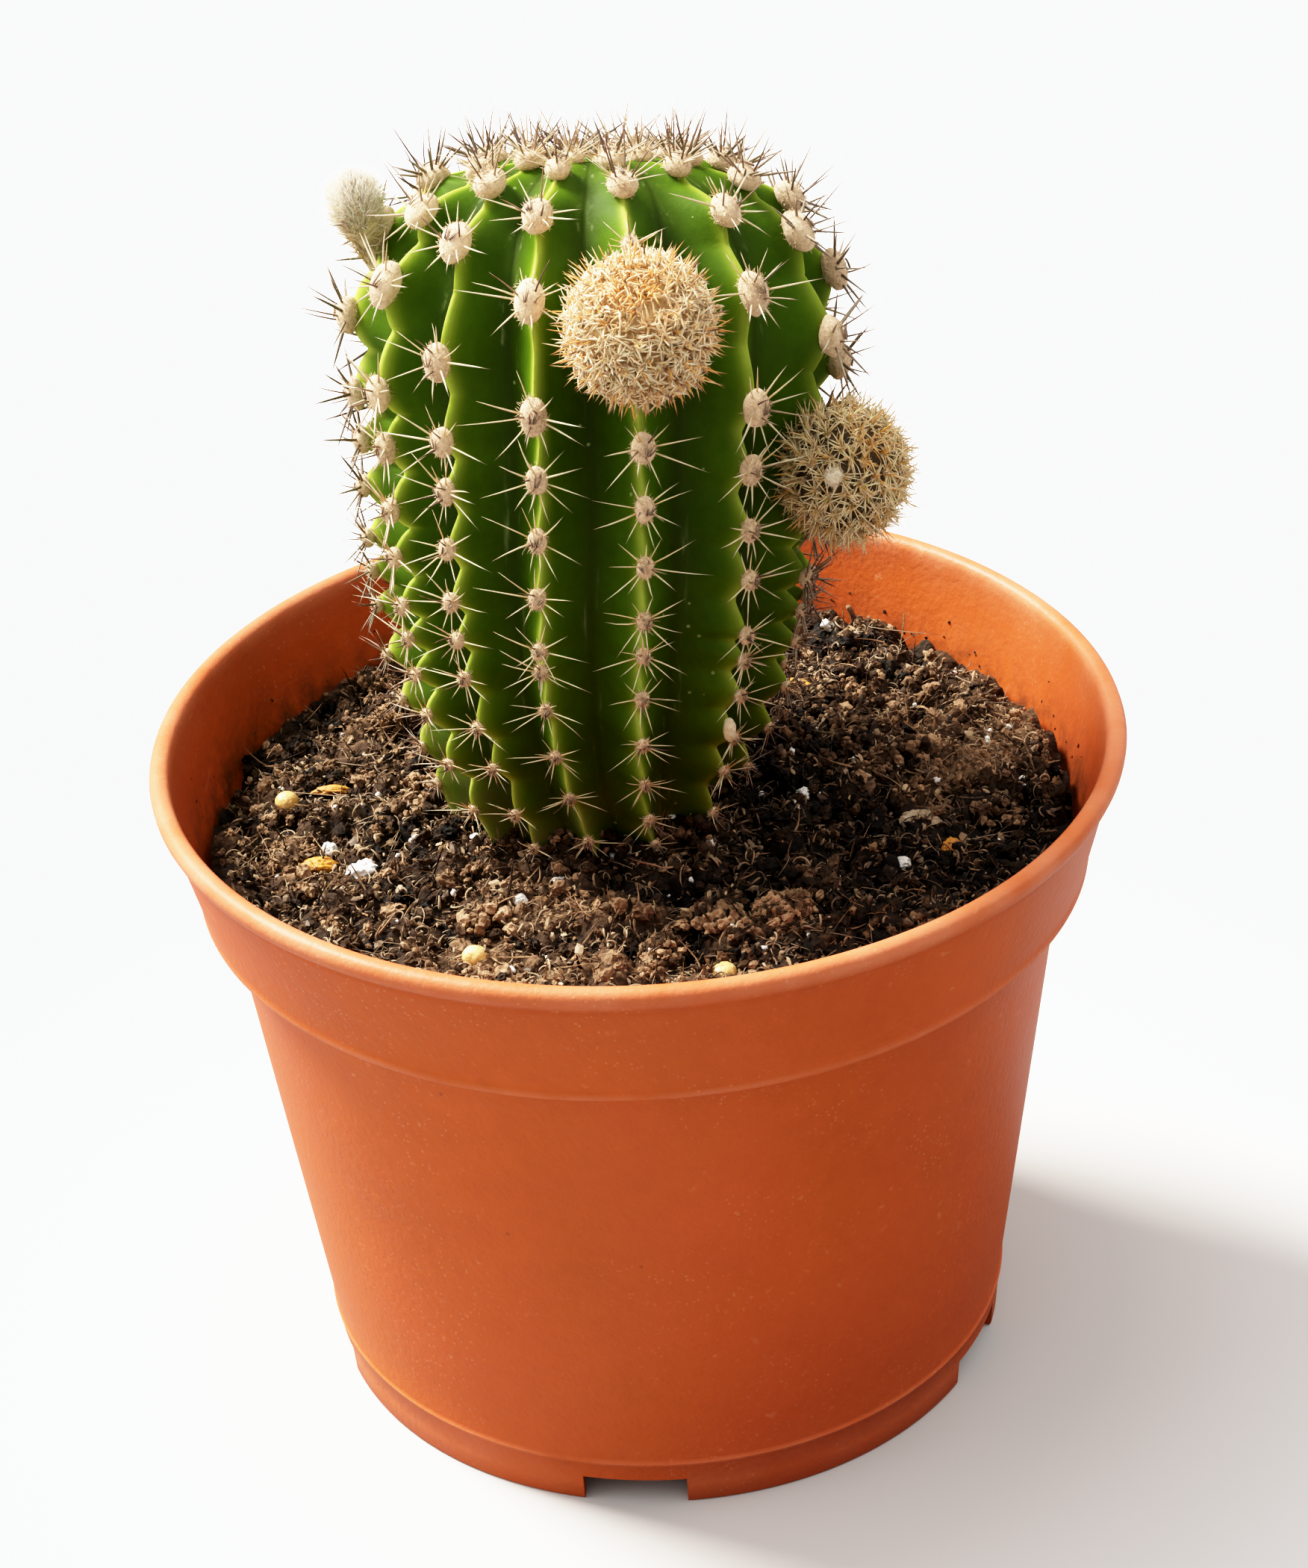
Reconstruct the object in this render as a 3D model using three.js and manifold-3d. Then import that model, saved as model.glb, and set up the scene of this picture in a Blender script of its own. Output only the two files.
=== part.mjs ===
// A round cactus in a plastic nursery pot, in millimetres, +Z up.
// The origin is the centre of the pot's foot, on the surface that the pot stands on. The front is -Y.

import * as THREE from 'three';
import { mergeVertices } from 'three/addons/utils/BufferGeometryUtils.js';
import Module from 'manifold-3d';

const wasm = await Module();
wasm.setup();

// ---------------------------------------------------------------- driving dimensions

const GAP = 0.3; // between pieces that touch
const UP = new THREE.Vector3(0, 0, 1);

// pot
const RIM_RADIUS = 60;
const POT_HEIGHT = 87;
const WALL = 1.5;
const FOOT_RADIUS = 43.9;
const FOOT_LINE = { radius: 44.4, z: 6.8 }; // where the foot band meets the tapered body
const BODY_TOP = { radius: 52.5, z: 69.4 }; // where the body meets the rim band
const BAND_BOTTOM_RADIUS = 55.4;
const BAND_BOTTOM_EASE = 0.5; // the rounding of the band's lower edge
const LIP_THICKNESS = 2.6;
const LIP_HEIGHT = 2.8;
const LIP_OVERHANG = 1.1; // how far the lip stands out from the band
const FLOOR_UNDERSIDE = 3.9;
const FLOOR_THICKNESS = 1.8;
const POT_SIDES = 48;
const NOTCH = { count: 5, width: 13, height: FLOOR_UNDERSIDE, firstAzimuth: -7.5 };
const DRAIN_HOLE = { radius: 4, ring: 34, depth: 20, sides: 16 };

// soil
const SOIL_AT_WALL = 74.3;
const SOIL_MOUND = { height: 3.8, spread: 27 }; // raised round the stem
const SOIL_RIPPLE = { height: 0.55, alongX: 0.31, alongY: 0.27, across: 0.6 }; // waves per mm in radians
const SOIL_RINGS = [51, 46, 40, 34, 28, 22, 15, 8];

// stem: its middle line leans back and a little to the right
const STEM_BOTTOM = new THREE.Vector3(-8, 3.6, 66);
const STEM_BEND = new THREE.Vector3(-3, 1.6, 110.5);
const STEM_CROWN = new THREE.Vector3(-1, 16.4, 155);
const BURIED = 9; // length of the middle line that is below the soil line
const STEM_LENGTH = 89;
// crest radius and height above the soil line, from the buried end to the middle of the crown
const STEM_OUTLINE = [
  [0, -9], [9, -8.2], [14, -4.8], [16.7, 0], [20.2, 9.4], [23.6, 18.8], [25.4, 28.3], [26.6, 38],
  [27, 47], [28.1, 54.5], [28.6, 61], [27.2, 67.5], [22.4, 74.7], [17, 77.9], [10.5, 79.6],
  [4.5, 79.1], [0, 78.2],
];
const STEM_ROWS = 26;
const RIB_AZIMUTHS = [-96, -60, -39, -16, 9, 38, 67, 91, 115, 141, 166, 191, 216, 240];
const RIB_STEPS = 4; // faces from one crest to the next
const GROOVE_SHARE = 0.16; // of the crest radius
const GROOVE_SHARPNESS = 0.85;
const BASE_TWIST = 22; // degrees at the soil line, dying away upwards
const TWIST_REACH = 13;

// offsets and bud
const PUP_FRONT = { centre: [3.1, -20.4, 148.9], radius: 8.6 };
const PUP_RIGHT = { centre: [26.8, -4.8, 121.9], radius: 7.7 };
const PUP_BUMP = { share: 0.03, waves: 9 };
const BUD = { foot: [-27.2, 14.4, 143.6], tip: [-31, 13.4, 155.6], width: 6.6, sides: 12 };
// shares of the bud's half width and length
const BUD_OUTLINE = [
  [0, 0], [0.55, 0.02], [0.7, 0.25], [0.95, 0.5], [1, 0.72], [0.75, 0.9], [0.3, 1], [0, 1],
];

// wool cushions on the crown, one on each rib: the even ribs' sit a little further in
const CROWN_AREOLE = { evenHeight: 77.2, oddHeight: 74.7, radius: 2, depth: 1.3 };
const CROWN_SPINE = { length: 6.4, radius: 0.24, count: 4, lean: 0.45, splay: 0.3 };

// loose pieces on the soil: place, half sizes, turn about Z in degrees and how far it is bent
const LOOSE_PIECES = [
  { name: 'pellet_1', look: 'pellet', at: [-44.5, 5.4], half: [1.5, 1.45, 1.4] },
  { name: 'pellet_2', look: 'pellet', at: [-20.5, -32.7], half: [1.45, 1.4, 1.4] },
  { name: 'pellet_3', look: 'pellet', at: [8.6, -38.4], half: [1.5, 1.4, 1.3] },
  { name: 'perlite_1', look: 'perlite', at: [-34.7, -11.4], half: [1.8, 1.3, 1.2], turn: 20 },
  { name: 'perlite_2', look: 'perlite', at: [-38.5, -6.3], half: [1, 0.8, 0.8], turn: 50 },
  { name: 'perlite_3', look: 'perlite', at: [-15, -22.2], half: [0.9, 0.9, 0.8] },
  { name: 'perlite_4', look: 'perlite', at: [-10.4, -18.3], half: [0.9, 0.8, 0.7] },
  { name: 'perlite_5', look: 'perlite', at: [20.3, -0.9], half: [0.9, 1.2, 0.8], turn: -15 },
  { name: 'perlite_6', look: 'perlite', at: [31.2, -16.5], half: [1.1, 0.8, 0.7], turn: 10 },
  { name: 'perlite_7', look: 'perlite', at: [26.4, 43.2], half: [1.2, 1, 1], turn: 30 },
  { name: 'perlite_8', look: 'perlite', at: [45, 12.5], half: [1, 1.1, 0.8] },
  { name: 'bark_sliver_1', look: 'bark', at: [-40.2, -10], half: [2.7, 0.8, 0.5], turn: 25, bend: 0.13 },
  { name: 'bark_sliver_2', look: 'bark', at: [20.6, 28], half: [2.6, 0.9, 0.5], turn: 20, bend: 0.1 },
  { name: 'bark_sliver_3', look: 'bark', at: [37.7, -13.3], half: [1.9, 0.7, 0.5], turn: -50, bend: 0.15 },
  { name: 'bark_sliver_4', look: 'bark', at: [-39.2, 7.9], half: [2.4, 0.7, 0.45], turn: 8, bend: 0.08 },
  { name: 'bark_chip', look: 'chip', at: [34.6, -7.3], half: [2.7, 1.7, 0.8], turn: -20 },
  { name: 'peat_crumb_1', look: 'crumb', at: [16.2, -27.6], half: [3.4, 3, 2.1], turn: 30 },
  { name: 'peat_crumb_2', look: 'crumb', at: [-34, 36.5], half: [2.6, 2, 1.7] },
  { name: 'peat_crumb_3', look: 'crumb', at: [-31.6, 24.7], half: [3, 2.2, 1.6], turn: -20 },
];
const LOOSE_SUNK = 0.35; // how far a loose piece's middle stands above the soil, in half heights
const LOOSE_UNEVEN = 0.1;
const TWIG = { foot: [30.8, 42.6, 72], bend: [30.6, 42.4, 76.5], tip: [29.2, 42.2, 79.4], radius: 0.6 };
const HUSK = { azimuth: 36, height: 18.8, half: [0.9, 0.6, 1.7], stand: 1 };

// ---------------------------------------------------------------- materials

const FINISHES = {
  terracotta_plastic: { color: 0xc45a2c, roughness: 0.5, metalness: 0 },
  peat: { color: 0x2b1d15, roughness: 0.95, metalness: 0 },
  stem_skin: { color: 0x2f6b12, roughness: 0.4, metalness: 0 },
  straw_spines: { color: 0xd9bf8c, roughness: 0.85, metalness: 0 },
  tan_spines: { color: 0xc2a678, roughness: 0.85, metalness: 0 },
  bud_hair: { color: 0xe6dcc4, roughness: 0.95, metalness: 0 },
  areole_wool: { color: 0xcdb491, roughness: 0.95, metalness: 0 },
  pellet: { color: 0xdcae62, roughness: 0.5, metalness: 0 },
  perlite: { color: 0xeeeae2, roughness: 0.9, metalness: 0 },
  bark: { color: 0xb8691d, roughness: 0.8, metalness: 0 },
  chip: { color: 0xa0856a, roughness: 0.9, metalness: 0 },
  crumb: { color: 0x6d4a31, roughness: 0.95, metalness: 0 },
  husk: { color: 0xe2d3ad, roughness: 0.6, metalness: 0 },
};

// ---------------------------------------------------------------- solids and meshes

/** A closed solid from a geometry, whichever way its faces were wound. */
function toSolid(geometry) {
  const bare = geometry.clone();
  bare.deleteAttribute('normal');
  bare.deleteAttribute('uv');
  const merged = mergeVertices(bare, 1e-4);
  const position = merged.attributes.position;
  const corner = [0, 1, 2].map(() => new THREE.Vector3());
  const triangles = [];
  let volume = 0;
  for (let i = 0; i < merged.index.count; i += 3) {
    const [a, b, c] = [0, 1, 2].map((k) => merged.index.getX(i + k));
    if (a === b || b === c || a === c) continue;
    [a, b, c].forEach((vertex, k) => corner[k].fromBufferAttribute(position, vertex));
    volume += corner[0].dot(corner[1].clone().cross(corner[2]));
    triangles.push([a, b, c]);
  }
  const faces = volume < 0 ? triangles.map(([a, b, c]) => [a, c, b]) : triangles;
  return new wasm.Manifold(new wasm.Mesh({
    numProp: 3,
    vertProperties: new Float32Array(position.array),
    triVerts: new Uint32Array(faces.flat()),
  }));
}

/** The surface of a solid, with plain positions and an index. */
function toGeometry(solid) {
  const mesh = solid.getMesh();
  const geometry = new THREE.BufferGeometry();
  geometry.setAttribute('position', new THREE.BufferAttribute(new Float32Array(mesh.vertProperties), 3));
  geometry.setIndex(new THREE.BufferAttribute(new Uint32Array(mesh.triVerts), 1));
  return geometry;
}

/** A geometry with its surface moved outwards, to cut room for a piece in its neighbour. */
function grown(geometry, distance) {
  const wider = toGeometry(toSolid(geometry));
  wider.computeVertexNormals();
  const { position, normal } = wider.attributes;
  for (let i = 0; i < position.count; i += 1) {
    position.setXYZ(
      i,
      position.getX(i) + normal.getX(i) * distance,
      position.getY(i) + normal.getY(i) * distance,
      position.getZ(i) + normal.getZ(i) * distance,
    );
  }
  return wider;
}

/** Moves every vertex of a geometry by a function that changes it in place. */
function reshape(geometry, change) {
  const position = geometry.attributes.position;
  const point = new THREE.Vector3();
  for (let i = 0; i < position.count; i += 1) {
    change(point.fromBufferAttribute(position, i));
    position.setXYZ(i, point.x, point.y, point.z);
  }
  return geometry;
}

/** A solid of revolution about Z from a profile of [radius, z] points. */
function turned(profile, sides) {
  const points = profile.map(([radius, z]) => new THREE.Vector2(radius, z));
  return new THREE.LatheGeometry(points, sides).rotateX(Math.PI / 2);
}

/** The horizontal direction at an azimuth in degrees, counted from the front towards +X. */
function outward(azimuth) {
  const angle = THREE.MathUtils.degToRad(azimuth);
  return new THREE.Vector3(Math.sin(angle), -Math.cos(angle), 0);
}

/** A named mesh with its own material. */
function piece(name, finish, geometry) {
  const surface = geometry.clone();
  surface.computeVertexNormals();
  const mesh = new THREE.Mesh(surface, new THREE.MeshStandardMaterial(FINISHES[finish]));
  mesh.name = name;
  return mesh;
}

// ---------------------------------------------------------------- pot

function potProfile() {
  const lipInner = RIM_RADIUS - LIP_THICKNESS;
  const lipBottom = POT_HEIGHT - LIP_HEIGHT;
  const lipTop = [30, 60, 90, 120, 150].map((degrees) => {
    const angle = THREE.MathUtils.degToRad(degrees);
    const middle = (RIM_RADIUS + lipInner) / 2;
    const half = LIP_THICKNESS / 2;
    return [middle + half * Math.cos(angle), POT_HEIGHT - half + half * Math.sin(angle)];
  });
  const floorTop = FLOOR_UNDERSIDE + FLOOR_THICKNESS;
  return [
    [0, FLOOR_UNDERSIDE],
    [FOOT_RADIUS - WALL, FLOOR_UNDERSIDE],
    [FOOT_RADIUS - WALL, 0],
    [FOOT_RADIUS, 0],
    [FOOT_LINE.radius, FOOT_LINE.z],
    [BODY_TOP.radius, BODY_TOP.z],
    [BAND_BOTTOM_RADIUS - BAND_BOTTOM_EASE, BODY_TOP.z],
    [BAND_BOTTOM_RADIUS, BODY_TOP.z + BAND_BOTTOM_EASE],
    [RIM_RADIUS - LIP_OVERHANG, lipBottom],
    [RIM_RADIUS, lipBottom + LIP_HEIGHT / 2],
    ...lipTop,
    [lipInner, lipBottom],
    [BAND_BOTTOM_RADIUS - WALL, BODY_TOP.z + WALL],
    [BODY_TOP.radius - WALL, BODY_TOP.z - WALL],
    [FOOT_LINE.radius - WALL, floorTop],
    [0, floorTop],
  ];
}

function pot() {
  let solid = toSolid(turned(potProfile(), POT_SIDES));
  for (let i = 0; i < NOTCH.count; i += 1) {
    const azimuth = NOTCH.firstAzimuth + (360 / NOTCH.count) * i;
    const angle = THREE.MathUtils.degToRad(azimuth);
    const notch = new THREE.BoxGeometry(NOTCH.width, 3 * WALL, 2 * NOTCH.height);
    notch.rotateZ(angle).translate(...outward(azimuth).multiplyScalar(FOOT_RADIUS - WALL / 2));
    const { radius, depth, sides } = DRAIN_HOLE;
    const hole = new THREE.CylinderGeometry(radius, radius, depth, sides);
    hole.rotateX(Math.PI / 2).translate(...outward(azimuth).multiplyScalar(DRAIN_HOLE.ring));
    solid = solid.subtract(toSolid(notch)).subtract(toSolid(hole));
  }
  return toGeometry(solid);
}

// ---------------------------------------------------------------- stem

const stemLine = new THREE.QuadraticBezierCurve3(STEM_BOTTOM, STEM_BEND, STEM_CROWN);

/** The stem's middle point and its cross directions at a height above the soil line. */
function stemFrame(height) {
  const along = THREE.MathUtils.clamp((height + BURIED) / STEM_LENGTH, 0, 1);
  const tangent = stemLine.getTangent(along);
  const right = new THREE.Vector3(0, 1, 0).cross(tangent).normalize();
  return { middle: stemLine.getPoint(along), tangent, right, back: tangent.clone().cross(right) };
}

/** A point at a radius and azimuth from the stem's middle line. */
function aroundStem(height, azimuth, radius) {
  const frame = stemFrame(height);
  const twist = BASE_TWIST * Math.exp(-Math.max(height, 0) / TWIST_REACH);
  const angle = THREE.MathUtils.degToRad(azimuth + twist);
  return frame.middle
    .addScaledVector(frame.right, radius * Math.sin(angle))
    .addScaledVector(frame.back, -radius * Math.cos(angle));
}

const stemOutline = new THREE.SplineCurve(STEM_OUTLINE.map(([radius, height]) => (
  new THREE.Vector2(radius, height)
)));

/** The crest radius at a height above the soil line, on the stem's outside. */
function crestRadius(height) {
  const points = stemOutline.getSpacedPoints(200);
  const index = points.findIndex((point) => point.y >= height);
  return points[index < 0 ? points.length - 1 : index].x;
}

/** The columns of the stem's surface: an azimuth, and how deep in the groove it lies, 0 to 1. */
function ribColumns() {
  return RIB_AZIMUTHS.flatMap((azimuth, rib) => {
    const next = rib + 1 < RIB_AZIMUTHS.length ? RIB_AZIMUTHS[rib + 1] : RIB_AZIMUTHS[0] + 360;
    return Array.from({ length: RIB_STEPS }, (_, step) => {
      const share = step / RIB_STEPS;
      return {
        azimuth: THREE.MathUtils.lerp(azimuth, next, share),
        groove: Math.sin(Math.PI * share) ** GROOVE_SHARPNESS,
      };
    });
  });
}

function stem() {
  const columns = ribColumns();
  const rows = stemOutline.getSpacedPoints(STEM_ROWS);
  const buriedEnd = aroundStem(rows[0].y, 0, 0);
  const crown = aroundStem(rows[STEM_ROWS].y, 0, 0);
  const inner = rows.slice(1, -1);
  const points = inner.flatMap((row) => columns.map(({ azimuth, groove }) => (
    aroundStem(row.y, azimuth, row.x * (1 - GROOVE_SHARE * groove))
  )));
  const count = columns.length;
  const bottomIndex = points.push(buriedEnd) - 1;
  const topIndex = points.push(crown) - 1;
  const faces = [];
  for (let column = 0; column < count; column += 1) {
    const next = (column + 1) % count;
    for (let row = 0; row + 1 < inner.length; row += 1) {
      const [low, high] = [row * count, (row + 1) * count];
      faces.push(low + column, low + next, high + next, low + column, high + next, high + column);
    }
    const last = (inner.length - 1) * count;
    faces.push(bottomIndex, next, column, topIndex, last + column, last + next);
  }
  return new THREE.BufferGeometry().setFromPoints(points).setIndex(faces);
}

const stemGeometry = toGeometry(toSolid(stem()));
const stemRoom = toSolid(grown(stemGeometry, GAP));

/** A geometry with the stem's place cut out of it, for a piece that grows on the stem. */
function seatedOnStem(geometry) {
  return toGeometry(toSolid(geometry).subtract(stemRoom));
}

// ---------------------------------------------------------------- offsets, bud and crown areoles

function pup({ centre, radius }) {
  const ball = reshape(new THREE.IcosahedronGeometry(1, 4), (point) => {
    const { share, waves } = PUP_BUMP;
    const bumps = Math.sin(waves * point.x) * Math.sin(waves * point.y) * Math.cos(waves * point.z);
    point.multiplyScalar(radius * (1 + share * bumps));
  });
  return seatedOnStem(ball.translate(...centre));
}

function flowerBud() {
  const foot = new THREE.Vector3(...BUD.foot);
  const along = new THREE.Vector3(...BUD.tip).sub(foot);
  const length = along.length();
  const half = BUD.width / 2;
  const shape = turned(BUD_OUTLINE.map(([wide, high]) => [wide * half, high * length]), BUD.sides);
  shape.applyQuaternion(new THREE.Quaternion().setFromUnitVectors(UP, along.normalize()));
  return seatedOnStem(shape.translate(...BUD.foot));
}

/** One thin spine from a point towards a direction. */
function spine(foot, direction, length) {
  const shape = new THREE.ConeGeometry(CROWN_SPINE.radius, length, 4).translate(0, length / 2, 0);
  const upright = new THREE.Vector3(0, 1, 0);
  shape.applyQuaternion(new THREE.Quaternion().setFromUnitVectors(upright, direction));
  return shape.translate(...foot);
}

function crownAreole(rib) {
  const height = rib % 2 ? CROWN_AREOLE.oddHeight : CROWN_AREOLE.evenHeight;
  const azimuth = RIB_AZIMUTHS[rib];
  const foot = aroundStem(height, azimuth, crestRadius(height));
  const axis = stemFrame(height).tangent;
  const sideways = foot.clone().sub(stemFrame(height).middle).normalize();
  const normal = axis.clone().add(sideways).normalize();
  const cushion = new THREE.IcosahedronGeometry(CROWN_AREOLE.radius, 1);
  cushion.scale(1, 1, CROWN_AREOLE.depth / CROWN_AREOLE.radius);
  cushion.applyQuaternion(new THREE.Quaternion().setFromUnitVectors(UP, normal)).translate(...foot);
  let solid = toSolid(cushion);
  const across = normal.clone().cross(axis).normalize();
  const away = across.clone().cross(normal);
  for (let i = 0; i < CROWN_SPINE.count; i += 1) {
    const turn = (2 * Math.PI * (i + 0.5)) / CROWN_SPINE.count;
    const lean = across.clone().multiplyScalar(Math.cos(turn)).addScaledVector(away, Math.sin(turn));
    const direction = axis.clone().addScaledVector(sideways, CROWN_SPINE.lean)
      .addScaledVector(lean, CROWN_SPINE.splay).normalize();
    solid = solid.add(toSolid(spine(foot, direction, CROWN_SPINE.length)));
  }
  return toGeometry(solid.subtract(stemRoom));
}

// ---------------------------------------------------------------- soil and loose pieces

/** The height of the soil's surface. */
function soilHeight(x, y) {
  const nearStem = Math.hypot(x - STEM_BOTTOM.x, y - STEM_BOTTOM.y) / SOIL_MOUND.spread;
  const mound = SOIL_MOUND.height * Math.exp(-(nearStem ** 2));
  const { height, alongX, alongY, across } = SOIL_RIPPLE;
  const ripple = Math.sin(alongX * x) * Math.cos(alongY * y) + Math.sin(across * (x - y)) / 2;
  return SOIL_AT_WALL + mound + height * ripple;
}

/** A lump with an uneven surface, half sunk in the soil. */
function looseShape({ at: [x, y], half, turn = 0, bend = 0 }) {
  const lump = reshape(new THREE.IcosahedronGeometry(1, 1), (point) => {
    const uneven = 1 + LOOSE_UNEVEN * Math.sin(5 * point.x + x) * Math.sin(4 * point.y + 3 * point.z + y);
    point.set(half[0] * point.x, half[1] * point.y, half[2] * point.z).multiplyScalar(uneven);
    point.z += bend * (half[0] ** 2 / 3 - point.x ** 2);
  });
  lump.rotateZ(THREE.MathUtils.degToRad(turn));
  return lump.translate(x, y, soilHeight(x, y) + LOOSE_SUNK * half[2]);
}

function twig() {
  const route = new THREE.QuadraticBezierCurve3(
    new THREE.Vector3(...TWIG.foot),
    new THREE.Vector3(...TWIG.bend),
    new THREE.Vector3(...TWIG.tip),
  );
  const section = new THREE.Shape().absarc(0, 0, TWIG.radius, 0, 2 * Math.PI);
  return new THREE.ExtrudeGeometry(section, { steps: 6, curveSegments: 6, extrudePath: route });
}

function husk() {
  const shape = new THREE.IcosahedronGeometry(1, 1).scale(...HUSK.half);
  const radius = crestRadius(HUSK.height) + HUSK.stand;
  const place = aroundStem(HUSK.height, HUSK.azimuth, radius);
  return seatedOnStem(shape.rotateZ(THREE.MathUtils.degToRad(HUSK.azimuth)).translate(...place));
}

/** The peat fills the pot up to the rim band, with room for the stem and for what is sunk in it. */
function soil(sunkPieces) {
  const floorTop = FLOOR_UNDERSIDE + FLOOR_THICKNESS + GAP;
  const inside = WALL + GAP;
  const wallSlope = (RIM_RADIUS - LIP_THICKNESS - BAND_BOTTOM_RADIUS + WALL) / (POT_HEIGHT - BODY_TOP.z);
  const bandInsideZ = BODY_TOP.z + WALL;
  const edgeRadius = BAND_BOTTOM_RADIUS - inside + wallSlope * (SOIL_AT_WALL - bandInsideZ - GAP);
  const profile = [
    [0, floorTop],
    [FOOT_LINE.radius - inside, floorTop],
    [BODY_TOP.radius - inside, BODY_TOP.z - WALL - GAP],
    [BAND_BOTTOM_RADIUS - inside - GAP, bandInsideZ],
    [edgeRadius, SOIL_AT_WALL],
    ...SOIL_RINGS.map((radius) => [radius, SOIL_AT_WALL]),
    [0, SOIL_AT_WALL],
  ];
  const widestRing = SOIL_RINGS[0] + 0.5;
  const body = reshape(turned(profile, POT_SIDES), (point) => {
    const onTop = point.z > SOIL_AT_WALL - 0.01 && Math.hypot(point.x, point.y) < widestRing;
    if (onTop) point.z = soilHeight(point.x, point.y);
  });
  const rooms = sunkPieces.map((geometry) => toSolid(grown(geometry, GAP)));
  return toGeometry(rooms.reduce((solid, room) => solid.subtract(room), toSolid(body).subtract(stemRoom)));
}

// ---------------------------------------------------------------- the whole object

const cactus = new THREE.Group();
const sunk = LOOSE_PIECES.map((entry) => ({ ...entry, geometry: looseShape(entry) }));
const twigGeometry = twig();

cactus.add(
  piece('pot', 'terracotta_plastic', pot()),
  piece('soil', 'peat', soil([...sunk.map(({ geometry }) => geometry), twigGeometry])),
  piece('stem', 'stem_skin', stemGeometry),
  piece('pup_front', 'straw_spines', pup(PUP_FRONT)),
  piece('pup_right', 'tan_spines', pup(PUP_RIGHT)),
  piece('flower_bud', 'bud_hair', flowerBud()),
  ...RIB_AZIMUTHS.map((_, rib) => piece(`areole_crown_${rib + 1}`, 'areole_wool', crownAreole(rib))),
  ...sunk.map(({ name, look, geometry }) => piece(name, look, toGeometry(toSolid(geometry)))),
  piece('twig', 'chip', toGeometry(toSolid(twigGeometry))),
  piece('seed_husk', 'husk', husk()),
);

export default cactus;
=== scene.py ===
"""A round cactus with two offsets and a woolly bud, in peat in a plastic nursery pot."""

import itertools
import math
from types import SimpleNamespace

import bmesh
import bpy
import numpy as np
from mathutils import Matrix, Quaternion, Vector


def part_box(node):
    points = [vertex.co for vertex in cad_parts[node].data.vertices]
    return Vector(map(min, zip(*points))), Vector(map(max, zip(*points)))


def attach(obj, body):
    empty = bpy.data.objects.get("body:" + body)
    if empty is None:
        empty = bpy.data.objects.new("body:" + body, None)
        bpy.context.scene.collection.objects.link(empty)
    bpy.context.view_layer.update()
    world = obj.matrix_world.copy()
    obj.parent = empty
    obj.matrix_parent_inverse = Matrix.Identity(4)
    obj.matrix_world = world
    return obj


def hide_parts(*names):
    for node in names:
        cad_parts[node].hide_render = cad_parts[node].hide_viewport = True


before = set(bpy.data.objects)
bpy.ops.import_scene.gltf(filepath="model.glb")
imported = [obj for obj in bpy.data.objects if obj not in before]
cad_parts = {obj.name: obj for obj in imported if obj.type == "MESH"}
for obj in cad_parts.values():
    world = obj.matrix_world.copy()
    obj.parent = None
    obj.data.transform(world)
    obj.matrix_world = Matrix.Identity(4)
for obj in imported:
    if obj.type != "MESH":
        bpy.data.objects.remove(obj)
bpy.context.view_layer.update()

MM = 0.001  # shapes are worked out in millimetres
TAU = 2 * math.pi

# ---- driving dimensions, mm and degrees; azimuths are counted from the front, -Y, towards +X

POT_SIDES = 288
POT_SHARP = 38  # its edges look sharp where the surface turns more than this
POT_FLOOR_UNDER = 3.9
POT_FLOOR_TOP = 5.7
POT_NOTCH = {"count": 5, "width": 13, "depth": 6, "height": 3.9, "first": -7.5, "ring": 43.1}
POT_DRAIN = {"radius": 4, "depth": 20, "ring": 34}
POT_OUTSIDE = [
    (0, 3.9), (20, 3.9), (41.6, 3.9), (42.2, 3.6), (42.4, 3), (42.4, 0.35), (42.6, 0.05), (42.8, 0),
    (43.4, 0), (43.7, 0.06), (43.9, 0.4), (44.1, 3), (44.32, 6.1), (44.62, 6.45), (44.68, 6.75),
    (44.5, 7.05), (44.47, 7.4), (45.2, 13), (48, 34.6), (50.7, 55.5), (52.42, 68.7), (52.55, 69.1),
    (52.9, 69.25), (54.9, 69.3), (55.3, 69.4), (55.56, 69.7), (55.62, 70.1), (55.5, 70.6), (55.6, 71.3),
    (56.9, 76.6), (58.35, 82.7), (58.52, 83.3), (58.5, 83.6), (58.64, 83.85), (59.05, 84.15), (59.6, 84.6),
    (59.92, 85.3), (60, 85.9), (59.8, 86.5), (59.35, 86.88), (58.7, 87), (58.1, 86.9), (57.65, 86.5),
    (57.42, 85.9),
]
POT_INSIDE = [
    (57.3, 84.6), (56.45, 81.1), (55.6, 77.6), (55.1, 75.5), (54.6, 73.5), (53.95, 70.9), (53.5, 70.2),
    (52.4, 69), (51.2, 67.9), (50.9, 67.2), (48, 45), (45, 21), (43, 6.9), (42.6, 6.1), (41.8, 5.7),
    (20, 5.7), (0, 5.7),
]
# pale lines round the pot: painted bounce light on the foot band at 3, painted highlights on the edges at
# 6.75 and 69.9, and a pale rim at 86.3
POT_RIM_AND_PAINTED_LIGHT_LINES = [(3.0, 2.6, 0.4), (6.75, 0.4, 0.5), (69.9, 0.3, 0.9), (86.3, 1.6, 1)]  # height, width, strength

STEM_LINE = np.array([(-8.0, 3.6, 66.0), (-3.0, 1.6, 110.5), (-1.0, 16.4, 155.0)])
STEM_BURIED = 9
STEM_LENGTH = 89
STEM_OUTLINE = [
    (0, -9), (9, -8.2), (14, -4.8), (16.7, 0), (20.2, 9.4), (23.6, 18.8), (25.4, 28.3), (26.6, 38),
    (27, 47), (28.1, 54.5), (28.6, 61), (27.2, 67.5), (22.4, 74.7), (17, 77.9), (10.5, 79.6),
    (4.5, 79.1), (0, 78.2),
]
STEM_ROWS = 300
RIB_AZIMUTHS = [-96, -60, -39, -16, 9, 38, 67, 91, 115, 141, 166, 191, 216, 240]
RIB_STEPS = 36
RIB_SWAY = 0.9
GROOVE_SHARE = 0.2
GROOVE_SHARPNESS = 0.92
BASE_TWIST = 22
TWIST_REACH = 13
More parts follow.
